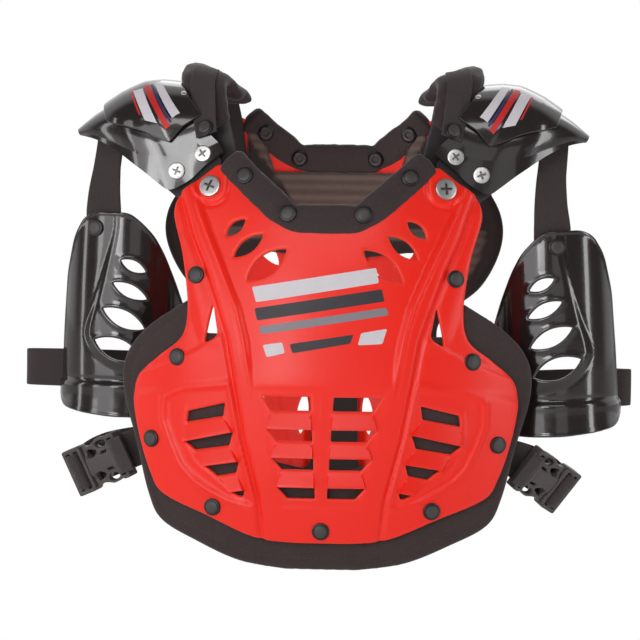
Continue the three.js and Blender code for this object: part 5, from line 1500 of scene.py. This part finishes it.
def buckleMatrix(side):
    data = sides[side]
    y = float(panelDepth(front, 0.903 * front["halfWidth"], data["buckleZ"])) + buckle["away"]
    droop = Matrix.Rotation(math.radians(data["droop"]), 4, "Y")
    turn = Matrix.Rotation(math.radians(data["turn"]), 4, "Z")
    return Matrix.Translation((data["buckleX"], y, data["buckleZ"])) @ droop @ turn


def throughBuckle(side, run):
    matrix = buckleMatrix(side)
    return [np.array(matrix @ Vector((x, y, 0))) for x, y in run]


def sweepStrap(name, node, side, points, across, count):
    sign = sides[side]["sign"]
    run = lengthsAlong(np.array(points))
    line = throughPoints(points, count)
    turning = readAt(np.linspace(0, run[-1], count), run, across)
    makeStrip(name + side, nodeOn(node, side), sided(line, sign), sided(turning, sign), web["width"])


def sideSeat(panel, key, side):
    u, up, lift = sideStrap[key]
    return onPanel(panel, [[u * panel["halfWidth"], sides[side]["buckleZ"] + up]], lift)[0]


def makeSideStraps(side):
    upright = np.array((0.0, 0.0, 1.0))
    turned = np.array(buckleMatrix(side).to_3x3() @ Vector((0, 0, 1)))
    points = [sideSeat(front, "start", side), sideSeat(front, "leaves", side), *throughBuckle(side, frontRun)]
    across = [upright] * 2 + [turned] * len(frontRun)
    sweepStrap("sideStrapFront", "side_strap_front", side, points, across, 130)
    points = throughBuckle(side, backRun)
    away = points[-1]
    near, to = sideSeat(back, "near", side), sideSeat(back, "end", side)
    bend = np.array((away[0] - 16, near[1] - 10, (away[2] + to[2]) / 2))
    swung = throughPoints([away, away + (0, 12, -1), bend, near], bendSteps + 1)[1:]
    across = [turned] * len(points) + [lerp(turned, upright, (i + 1) / bendSteps) for i in range(bendSteps)]
    across.append(upright)
    sweepStrap("sideStrapBack", "side_strap_back", side, [*points, *swung, to], across, 220)


def makeBuckleHalf(part, side):
    plan = bucklePlans[part]
    half = np.array(plan["outline"])
    outline = softened(np.vstack([half, (half * (1, -1))[::-1]]), 1.6)
    reach = buckle["slot"]
    holes = [softened(np.array([(a, -reach), (b, -reach), (b, reach), (a, reach)]), 0.8) for a, b in plan["slots"]]
    for hole in plan["holes"]:
        hole = np.array(hole, float)
        holes += [softened(hole, 2), softened((hole * (1, -1))[::-1], 2)]
    flat, faces, depth = meshRegion(outline, holes, 1.3, (0.25, 0.6, 1.1))
    x, z = flat[:, 0], np.abs(flat[:, 1])
    height = buckle["thickness"] / 2 - rounded(depth, buckle["rounding"])
    if part == "socket":
        height -= buckle["sunk"] * ramp(z, 4, 9.5) * ramp(x, 7.5, 10.5)
        height -= buckle["groove"] * hill(lineDistance(np.stack([x, z], 1), [(10.5, 0), (10.5, 12)]), 0.7)
    points, made = wallOver(faces, np.stack([x, -height, flat[:, 1]], 1), np.stack([x, height, flat[:, 1]], 1))
    matrix = buckleMatrix(side)
    placed = sided([tuple(matrix @ Vector(p)) for p in points], sides[side]["sign"])
    addPiece("buckle" + part.capitalize() + side, placed, made, bucklePlastic,
             [nodeOn("buckle_" + part, side)], 45, outwards=True)


bracket = {"rounding": 0.5, "weld": 0.002, "flat": 1.5, "sharp": 35}


# A copy of the CAD's bracket, with its triangles merged to clean faces and its edges rounded.
def makeCapBracket(side):
    node = nodeOn("cap_bracket", side)
    mesh = bpy.data.meshes.new("capBracket" + side)
    shell = bmesh.new()
    shell.from_mesh(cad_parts[node].data)
    bmesh.ops.remove_doubles(shell, verts=shell.verts, dist=bracket["weld"] * mm)
    bmesh.ops.dissolve_limit(shell, angle_limit=math.radians(bracket["flat"]), verts=shell.verts, edges=shell.edges)
    shell.to_mesh(mesh)
    shell.free()
    mesh.materials.clear()
    mesh.materials.append(mattBlack)
    mesh.polygons.foreach_set("use_smooth", [True] * len(mesh.polygons))
    mesh.set_sharp_from_angle(angle=math.radians(bracket["sharp"]))
    piece = bpy.data.objects.new("capBracket" + side, mesh)
    scene.collection.objects.link(piece)
    bevel(piece, bracket["rounding"], bracket["sharp"])
    finishPiece(piece, [node])


for side in sides:
    makeSideStraps(side)
    makeBuckleHalf("socket", side)
    makeBuckleHalf("clip", side)
    makeCapBracket(side)
print("straps and buckles ready")


# Heads of rivets, snaps and screws: half a section from the centre out, as radius and height.
heads = {
    "rivet": {"section": [(0, 2.5), (2.2, 2.45), (3.5, 2.25), (4.15, 1.95), (4.3, 1.55), (4.75, 1.5), (5.3, 1.45),
                          (5.7, 1.15), (5.8, 0.6), (5.8, 0)], "sides": 40},
    "screw": {"radius": 7.4, "height": 2.2, "dome": 0.3, "cross": (0.8, 3.9), "deep": 1.3, "sides": 56},
    "socket": {"section": [(0, 0.9), (1.9, 0.9), (2.3, 1.9), (3.2, 2.4), (4.15, 2.3), (4.9, 1.7), (5.6, 0.8),
                           (5.8, 0)], "sides": 40},
    "dot": {"section": [(0, 0.9), (1.2, 0.8), (1.9, 0.45), (2.1, 0)], "sides": 24},
}


def circle(radius, count):
    angles = np.arange(count) * 2 * math.pi / count
    return np.stack([radius * np.cos(angles), radius * np.sin(angles)], 1)


# A low dome with a cross pressed into it.
def makeScrewHead():
    head = heads["screw"]
    half, reach = head["cross"]
    corner = [(reach, half), (half, half), (half, reach)]
    turns = ((1, 0), (0, 1), (-1, 0), (0, -1))
    cross = np.array([(x * c - y * s, x * s + y * c) for c, s in turns for x, y in corner])
    closed = np.vstack([cross, cross[:1]])
    small = np.sign(closed) * np.maximum(np.abs(closed) - 0.3, 0)
    flat, faces, depth = meshRegion(circle(head["radius"], head["sides"]), [], 1.1, (0.3, 0.7), [closed, small])
    fromCross = signedDistance(flat, cross)
    fromMiddle = np.linalg.norm(flat, axis=1) / head["radius"]
    height = head["height"] - head["dome"] * fromMiddle ** 2 - rounded(depth, 0.7)
    height -= head["deep"] * ramp(fromCross, 0.02, 0.3)
    points, made = wallOver(faces, np.column_stack([flat, height]), np.column_stack([flat, 0 * height]))
    # The last value marks the cross recess, which the steel paints darker as shade.
    return points, made, np.tile(ramp(fromCross, -0.1, 0.2), 2)


# A turned head, from its section.
def turnSection(section, count):
    points, faces = [(0, 0, section[0][1])], []
    for radius, height in section[1:]:
        points += [(x, y, height) for x, y in circle(radius, count)]
    for i in range(count):
        faces.append((0, 1 + i, 1 + (i + 1) % count))
    for r in range(len(section) - 2):
        for i in range(count):
            a, b = 1 + r * count + i, 1 + r * count + (i + 1) % count
            faces.append((a, a + count, b + count, b))
    last = 1 + (len(section) - 2) * count
    faces.append(tuple(range(last, last + count))[::-1])
    return np.array(points), faces, np.zeros(len(points))


def makeHead(kind):
    head = heads[kind]
    points, faces, sunk = turnSection(head["section"], head["sides"]) if "section" in head else makeScrewHead()
    mesh = bpy.data.meshes.new(kind)
    mesh.from_pydata((points * mm).tolist(), [], [list(f) for f in faces])
    addMark(mesh, "turned", np.linalg.norm(points[:, :2], axis=1) * mm)
    # For screws the rim mark holds the cross recess for its painted shade; turned heads carry none.
    addMark(mesh, "rim", sunk)
    turnOutwards(mesh)
    mesh.polygons.foreach_set("use_smooth", [True] * len(mesh.polygons))
    mesh.set_sharp_from_angle(angle=math.radians(38))
    return bpy.data.objects.new(kind + "Head", mesh)


# One small shape set on each point of a mesh, turned as the point's "turn" says and sized as its "size" says.
def makeSetter():
    tree = bpy.data.node_groups.new("setOnPoints", "GeometryNodeTree")
    sockets = tree.interface
    for name, kind in (("Geometry", "Geometry"), ("Shape", "Object"), ("Finish", "Material"), ("Scale", "Float")):
        sockets.new_socket(name, in_out="INPUT", socket_type="NodeSocket" + kind)
    sockets.new_socket("Geometry", in_out="OUTPUT", socket_type="NodeSocketGeometry")
    make, link = tree.nodes.new, tree.links.new
    entry, leaves = make("NodeGroupInput"), make("NodeGroupOutput")
    kinds = ("ObjectInfo", "InstanceOnPoints", "RealizeInstances", "SetMaterial")
    shape, onPoints, real, finish = (make("GeometryNode" + kind) for kind in kinds)
    turn, size = (make("GeometryNodeInputNamedAttribute") for _ in range(2))
    turn.data_type, size.data_type = "FLOAT_VECTOR", "FLOAT"
    turn.inputs["Name"].default_value, size.inputs["Name"].default_value = "turn", "size"
    scaled = make("ShaderNodeMath")
    scaled.operation = "MULTIPLY"
    link(entry.outputs["Shape"], shape.inputs["Object"])
    link(entry.outputs["Geometry"], onPoints.inputs["Points"])
    link(shape.outputs["Geometry"], onPoints.inputs["Instance"])
    link(turn.outputs["Attribute"], onPoints.inputs["Rotation"])
    link(size.outputs["Attribute"], scaled.inputs[0])
    link(entry.outputs["Scale"], scaled.inputs[1])
    link(scaled.outputs[0], onPoints.inputs["Scale"])
    link(onPoints.outputs[0], real.inputs[0])
    link(real.outputs[0], finish.inputs["Geometry"])
    link(entry.outputs["Finish"], finish.inputs["Material"])
    link(finish.outputs[0], leaves.inputs["Geometry"])
    return tree


setter = makeSetter()


def setOnPoints(name, shape, points, turns, sizes, material, replaced=(), scale=1.0):
    mesh = bpy.data.meshes.new(name + "Points")
    mesh.from_pydata((np.asarray(points) * mm).tolist(), [], [])
    turned = mesh.attributes.new("turn", "FLOAT_VECTOR", "POINT").data
    turned.foreach_set("vector", np.asarray(turns, np.float32).ravel())
    addMark(mesh, "size", sizes)
    carrier = bpy.data.objects.new(name + "Points", mesh)
    scene.collection.objects.link(carrier)
    scene.collection.objects.link(shape)
    modifier = carrier.modifiers.new("set", "NODES")
    modifier.node_group = setter
    values = {"Shape": shape, "Finish": material, "Scale": scale}
    for item in setter.interface.items_tree:
        if item.in_out == "INPUT" and item.name in values:
            modifier[item.identifier] = values[item.name]
    bpy.context.view_layer.update()
    made = bpy.data.meshes.new_from_object(carrier.evaluated_get(bpy.context.evaluated_depsgraph_get()))
    made.name = name
    scene.collection.objects.unlink(shape)
    bpy.data.objects.remove(carrier)
    piece = bpy.data.objects.new(name, made)
    scene.collection.objects.link(piece)
    return finishPiece(piece, replaced)


# The turn that sets z along the normal, and x as nearly along the given way as it goes.
def turnTo(normal, along):
    normal, along = Vector(normal).normalized(), Vector(along)
    along = (along - normal * along.dot(normal)).normalized()
    return tuple(Matrix((along, normal.cross(along), normal)).transposed().to_euler())


seats = []  # each: kind, place, normal, size, CAD node
# Each cap screw's row along the cap and share down its flange, its size beside the plate's screws, and its lift.
capScrews = {"rows": ((1, 0.95, 0.3), (2, 2.6, 0.5)), "size": 0.76, "lift": 0.1}
plateRivets = {"top": (0.668, 0.703), "waist": (0.765, 0.484), "side": (0.895, 0.262), "low": (0.5625, 0.088),
               "middle": (0, 0.0333)}


def seatOnPanel(panel, share, lift, node, kind="rivet", facing=1):
    for side, sign in (("_left", 1), ("_right", -1)):
        if share[0] == 0 and sign < 0:
            continue
        flat = toFlat(panel, [(share[0] * sign, share[1])])
        rise = lift + (float(frontLift(flat)[0]) if panel is front and lift == 0 else 0)
        name = node + ("" if share[0] == 0 else side)
        seats.append((kind, onPanel(panel, flat, rise)[0], panelNormal(panel, flat)[0] * facing, 1.0, name))


def seatOnSide(side, sign, kind, place, normal, size, node):
    seats.append((kind, place * (sign, 1, 1), normal * (sign, 1, 1), size, node and nodeOn(node, side)))


def seatCapScrews(side, sign):
    rows, downs = 20, 20  # grid steps to a row of the table, and down the flange
    skin = capSkin(np.linspace(0, 3.4, 69), np.array([0.0]), np.linspace(0, 1, downs + 1))
    normals = gridNormals(skin)
    for number, row, down in capScrews["rows"]:
        r, c = int(round(row * rows)), skin.shape[1] - downs - 1 + int(round(down * downs))
        place = skin[r, c] + normals[r, c] * (cap["wall"] + capScrews["lift"])
        seatOnSide(side, sign, "screw", place, normals[r, c], capScrews["size"], "cap_screw_%d" % number)


def seatSnap(side, sign):
    points, across, _ = snapPath(91)
    out = squared(unit(np.gradient(points, axis=0)), across)[1]
    seatOnSide(side, sign, "rivet", points[10] + out[10] * web["thickness"] / 2, out[10], 1.0, "snap")


def seatOnGuard(side):
    angle = math.asin(sides[side]["rivet"] / guard["half"])
    spots = np.array([[angle * guard["reach"], -guard["rivetDown"] * guard["height"]]])
    spots = np.vstack([spots, spots + (0.5, 0), spots + (0, 0.5)])
    a, b, c = placeGuard(guardSurface(spots, guardLift(spots)), side)
    normal = unit(np.cross(b - a, c - a))
    seats.append(("rivet", a, normal if normal[1] < 0 else -normal, 1.0, nodeOn("guard_rivet", side)))


def seatDot(side, sign):
    skin = upperSkin(np.linspace(0, 1, 11), np.linspace(0, 1, 11), cap["wall"])
    seatOnSide(side, sign, "dot", skin[2, 6], gridNormals(skin)[2, 6], 1.0, None)


for node, share in plateRivets.items():
    seatOnPanel(front, share, 0, "plate_rivet_" + node)
collarHalf = collar["thickness"] / 2 * (1 - collar["pinch"])
for place, chest, neck in zip(("inner", "outer"), collarRivets["collar"], collarRivets["neck"]):
    seatOnPanel(front, chest, collar["lift"] + collarHalf, "collar_rivet_" + place)
    seatOnPanel(back, neck, collar["lift"] - collarHalf, "neck_rivet_" + place, "socket", facing=-1)
seatOnPanel(front, screwPad["at"], 0, "shoulder_screw", "screw")
for side, sign in (("Left", 1), ("Right", -1)):
    seatCapScrews(side, sign)
    seatSnap(side, sign)
    seatOnGuard(side)
    seatDot(side, sign)
# Each piece of heads: its name, kind, material and slot.
headPieces = (("rivets", "rivet", rivetBlack, "rivet_black"), ("neckSockets", "socket", rivetBlack, "rivet_black"),
              ("screws", "screw", steel, "steel"), ("capDots", "dot", steel, "steel"))


def makeFasteners():
    shapes = {kind: makeHead(kind) for kind in heads}
    for name, kind, material, slot in headPieces:
        group = [seat for seat in seats if seat[0] == kind]
        _, places, normals, sizes, nodes = zip(*group)
        turns = [turnTo(normal, (0.3 if i % 2 else 1, 0, 0.8 if i % 3 else 0.1)) for i, normal in enumerate(normals)]
        replaced = [node for node in nodes if node]
        setOnPoints(name, shapes[kind], places, turns, sizes, material, replaced)


makeFasteners()
print("fasteners ready")


# Stitches, as small loops of thread along a line on a surface.
stitch = {"length": 2.6, "radius": 0.32, "step": 3.9, "fromBinding": 1.4, "front": -3.3, "back": -8.6, "sides": 6}
threadRings = ((-0.5, 0.35), (-0.3, 0.95), (0, 1.1), (0.3, 0.95), (0.5, 0.35))  # share of the length, of the radius


def makeThread():
    rings = []
    for share, size in threadRings:
        rings.append([(share * stitch["length"], stitch["radius"] * size * math.cos(a),
                       stitch["radius"] * (size * math.sin(a) + 0.2))
                      for a in np.arange(stitch["sides"]) * 2 * math.pi / stitch["sides"]])
    points, faces = joinRings(rings)
    mesh = bpy.data.meshes.new("thread")
    mesh.from_pydata((points * mm).tolist(), [], faces)
    turnOutwards(mesh)
    mesh.polygons.foreach_set("use_smooth", [True] * len(mesh.polygons))
    return bpy.data.objects.new("thread", mesh)


# Places, normals and ways along for stitches on a line.
def stitchAlong(points, normals):
    run = lengthsAlong(points)
    wanted = np.arange(stitch["step"] / 2, run[-1], stitch["step"])
    return [readAt(wanted, run, values) for values in (points, normals, unit(np.gradient(points, axis=0)))]


# A loop moved inwards, without the places that come too near to another part of it.
def inset(outline, distance):
    loop = evenly(outline, 2.0, True)
    nextOne = np.roll(loop, -1, axis=0)
    ahead = unit(nextOne - np.roll(loop, 1, axis=0))
    area = 0.5 * np.sum(loop[:, 0] * nextOne[:, 1] - nextOne[:, 0] * loop[:, 1])
    moved = loop + np.stack([-ahead[:, 1], ahead[:, 0]], 1) * distance * (1 if area > 0 else -1)
    return moved[nearestTo(loop)(moved) > distance * 0.93]


def makeStitches():
    places, turns = [], []
    flat = inset(frontLinerOutline(), liner["binding"] + stitch["fromBinding"])
    for lift, facing in ((stitch["front"], 1), (stitch["back"], -1)):
        line = stitchAlong(onPanel(front, flat, lift), panelNormal(front, flat) * facing)
        places.extend(line[0])
        turns += [turnTo(normal, along) for normal, along in zip(line[1], line[2])]
    setOnPoints("stitches", makeThread(), places, turns, [1.0] * len(places), threadDark)


makeStitches()
print("stitches ready")


# Printed shapes. Each lies just over its surface; the motifs are plain bars.
printLift = 0.12
printSunk = 0.1
chestPrints = [
    {"ink": "white", "shape": [(-48, -133), (34, -119), (36, -129), (-45, -143)]},
    {"ink": "black", "shape": [(-46, -147), (38, -133), (40, -141), (-44, -155)]},
    {"ink": "grey", "shape": [(-43, -159), (41, -145), (43, -150), (-41, -164)]},
    {"ink": "black", "shape": [(-22, -170), (20, -163), (18, -169), (-20, -176)]},
    {"ink": "white", "shape": [(-40, -171), (-27, -169), (-25, -176), (-37, -179)]},
    {"ink": "white", "shape": [(25, -162), (42, -159), (39, -169), (23, -170)]},
]
inks = {"white": inkWhite, "black": inkBlack, "grey": inkGrey, "red": inkRed, "blue": inkBlue}


# Several meshes as one.
def together(parts):
    allPoints, allFaces = [], []
    for points, faces in parts:
        first = len(allPoints)
        allPoints.extend(points.tolist())
        allFaces.extend(tuple(i + first for i in face) for face in faces)
    return allPoints, allFaces


def chestBar(item):
    flat, faces, _ = meshRegion(softened(np.array(item["shape"], float), 1.2, 3), [], 2.4, (0.4,))
    lift = frontLift(flat)
    return wallOver(faces, onPanel(front, flat, lift + printLift), onPanel(front, flat, lift - printSunk))


def makeChestPrints():
    for ink in ("white", "black", "grey"):
        points, faces = together([chestBar(item) for item in chestPrints if item["ink"] == ink])
        addPiece("chestPrint" + ink.capitalize(), points, faces, inks[ink])


# Bars across the upper cap, as rows along it and shares down its front.
capPrints = [
    {"ink": "white", "rows": (1.05, 1.5), "lean": 0.25, "down": (0.3, 0.86)},
    {"ink": "blue", "rows": (1.6, 1.74), "lean": 0.25, "down": (0.3, 0.88)},
    {"ink": "red", "rows": (1.78, 2.12), "lean": 0.25, "down": (0.3, 0.9)},
    {"ink": "white", "rows": (2.25, 3.1), "lean": 0.12, "down": (0.34, 0.82)},
    {"ink": "red", "rows": (3.18, 3.34), "lean": 0.05, "down": (0.36, 0.76)},
]


def sampleGrid(grid, row, column):
    r, c = int(min(row, grid.shape[0] - 1.001)), int(min(column, grid.shape[1] - 1.001))
    a, b = row - r, column - c
    upper = grid[r, c] * (1 - b) + grid[r, c + 1] * b
    lower = grid[r + 1, c] * (1 - b) + grid[r + 1, c + 1] * b
    return upper * (1 - a) + lower * a


def capBar(item, skin):
    (firstRow, lastRow), (top, low) = item["rows"], item["down"]
    rows, columns = skin.shape[0] - 1, skin.shape[1] - 1
    grid = []
    for t in np.linspace(0, 1, 14):
        column = (top + (low - top) * t + 1) / 2 * columns
        places = firstRow + (lastRow - firstRow) * np.linspace(0, 1, 8) - item["lean"] * t
        grid.append([sampleGrid(skin, place / 6 * rows, column) for place in places])
    grid = np.array(grid)
    normals = gridNormals(grid)
    if normals[0, 0, 1] > 0:
        normals = -normals
    return wallGrid(grid - normals * printSunk, grid + normals * printLift)


def makeCapPrints():
    skin = upperSkin(np.linspace(0, 6, 121), np.linspace(-1, 1, 81), cap["wall"])
    for side, sign in (("Left", 1), ("Right", -1)):
        for ink in ("white", "red", "blue"):
            points, faces = together([capBar(item, skin) for item in capPrints if item["ink"] == ink])
            addPiece("capPrint" + ink.capitalize() + side, sided(np.array(points), sign), faces, inks[ink],
                     outwards=True)


makeChestPrints()
makeCapPrints()
print("prints ready")


studio = {"floor": -0.47, "floorReach": 6.0, "seenWhite": 1.0, "ambient": 0.15, "backdrop": 0.75, "turn": 4.0}
lamps = {
    "high": {"at": (-0.1, -1.9, 0.82), "to": (0, 0, -0.12), "size": (1.3, 0.36), "power": 6},
    "left": {"at": (-1.2, -1.1, 0.22), "to": (0, 0, -0.12), "size": (0.26, 0.9), "power": 1.8},
    "leftFront": {"at": (-0.62, -2.3, 0.16), "to": (0, 0, -0.12), "size": (0.5, 0.56), "power": 6.5},
    "leftStrip": {"at": (-1.5, -0.35, 0.1), "to": (0, 0, -0.15), "size": (0.16, 1.1), "power": 2.2},
    "right": {"at": (1.35, -0.75, 0.15), "to": (0, 0, -0.15), "size": (0.2, 1.1), "power": 4.0},
    "front": {"at": (0.5, -2.5, -0.2), "to": (0, 0, -0.15), "size": (0.8, 1.0), "power": 1.5},
    "leftWide": {"at": (-1.15, -1.75, -0.05), "to": (0, 0, -0.15), "size": (1.3, 0.9), "power": 7.5},
    "behind": {"at": (0.3, 1.6, 1.2), "to": (0, 0, -0.15), "size": (1.6, 1.0), "power": 8},
    "inside": {"at": (0, -0.02, -0.17), "to": (0, 0.5, -0.17), "size": (0.14, 0.22), "power": 0.1, "plain": True},
}


# What the camera sees of it is white; the light it casts is weaker.
def seenOnly(tree, seen, cast, out):
    path = tree.nodes.new("ShaderNodeLightPath")
    mixed = tree.nodes.new("ShaderNodeMixShader")
    tree.links.new(path.outputs["Is Camera Ray"], mixed.inputs[0])
    tree.links.new(cast.outputs[0], mixed.inputs[1])
    tree.links.new(seen.outputs[0], mixed.inputs[2])
    tree.links.new(mixed.outputs[0], out.inputs[0])


def makeFloor():
    low, reach = studio["floor"], studio["floorReach"]
    mesh = bpy.data.meshes.new("floor")
    corners = [(-reach, -reach, low), (reach, -reach, low), (reach, reach, low), (-reach, reach, low)]
    mesh.from_pydata(corners, [], [(0, 1, 2, 3)])
    floor = Finish("paleFloor", {"Roughness": 0.9, "Specular IOR Level": 0.1})
    cloud = floor.noise(floor.place(), 2.0)
    floor.feed("Base Color", floor.mix(cloud, (0.8, 0.8, 0.8), (0.84, 0.84, 0.84)))
    seen = floor.tree.nodes.new("ShaderNodeEmission")
    seen.inputs["Color"].default_value = (1, 1, 1, 1)
    seen.inputs["Strength"].default_value = studio["seenWhite"]
    seenOnly(floor.tree, seen, floor.surface, floor.tree.nodes["Material Output"])
    mesh.materials.append(floor.material)
    piece = bpy.data.objects.new("floor", mesh)
    scene.collection.objects.link(piece)


def makeWorld():
    world = bpy.data.worlds.new("studio")
    world.use_nodes = True
    tree = world.node_tree
    tree.nodes.clear()
    shades = []
    for strength in (studio["seenWhite"], studio["ambient"]):
        shade = tree.nodes.new("ShaderNodeBackground")
        shade.inputs["Color"].default_value = (1, 1, 1, 1)
        shade.inputs["Strength"].default_value = strength
        shades.append(shade)
    direction = tree.nodes.new("ShaderNodeTexCoord")
    parts = tree.nodes.new("ShaderNodeSeparateXYZ")
    tree.links.new(direction.outputs[0], parts.inputs[0])
    behind = (Value(tree, parts.outputs[1]) * studio["turn"]).between()
    plug(tree, behind * studio["backdrop"] + studio["ambient"], shades[1].inputs["Strength"])
    seenOnly(tree, *shades, tree.nodes.new("ShaderNodeOutputWorld"))
    scene.world = world


def makeLamps():
    for name, lamp in lamps.items():
        data = bpy.data.lights.new(name, "AREA")
        data.shape = "RECTANGLE"
        data.size, data.size_y = lamp["size"]
        data.energy = lamp["power"]
        light = bpy.data.objects.new(name, data)
        light.visible_glossy = not lamp.get("plain", False)
        at, to = Vector(lamp["at"]), Vector(lamp["to"])
        light.matrix_world = Matrix.Translation(at) @ (to - at).to_track_quat("-Z", "Y").to_matrix().to_4x4()
        scene.collection.objects.link(light)


makeFloor()
makeWorld()
makeLamps()
scene.view_settings.view_transform = "Standard"
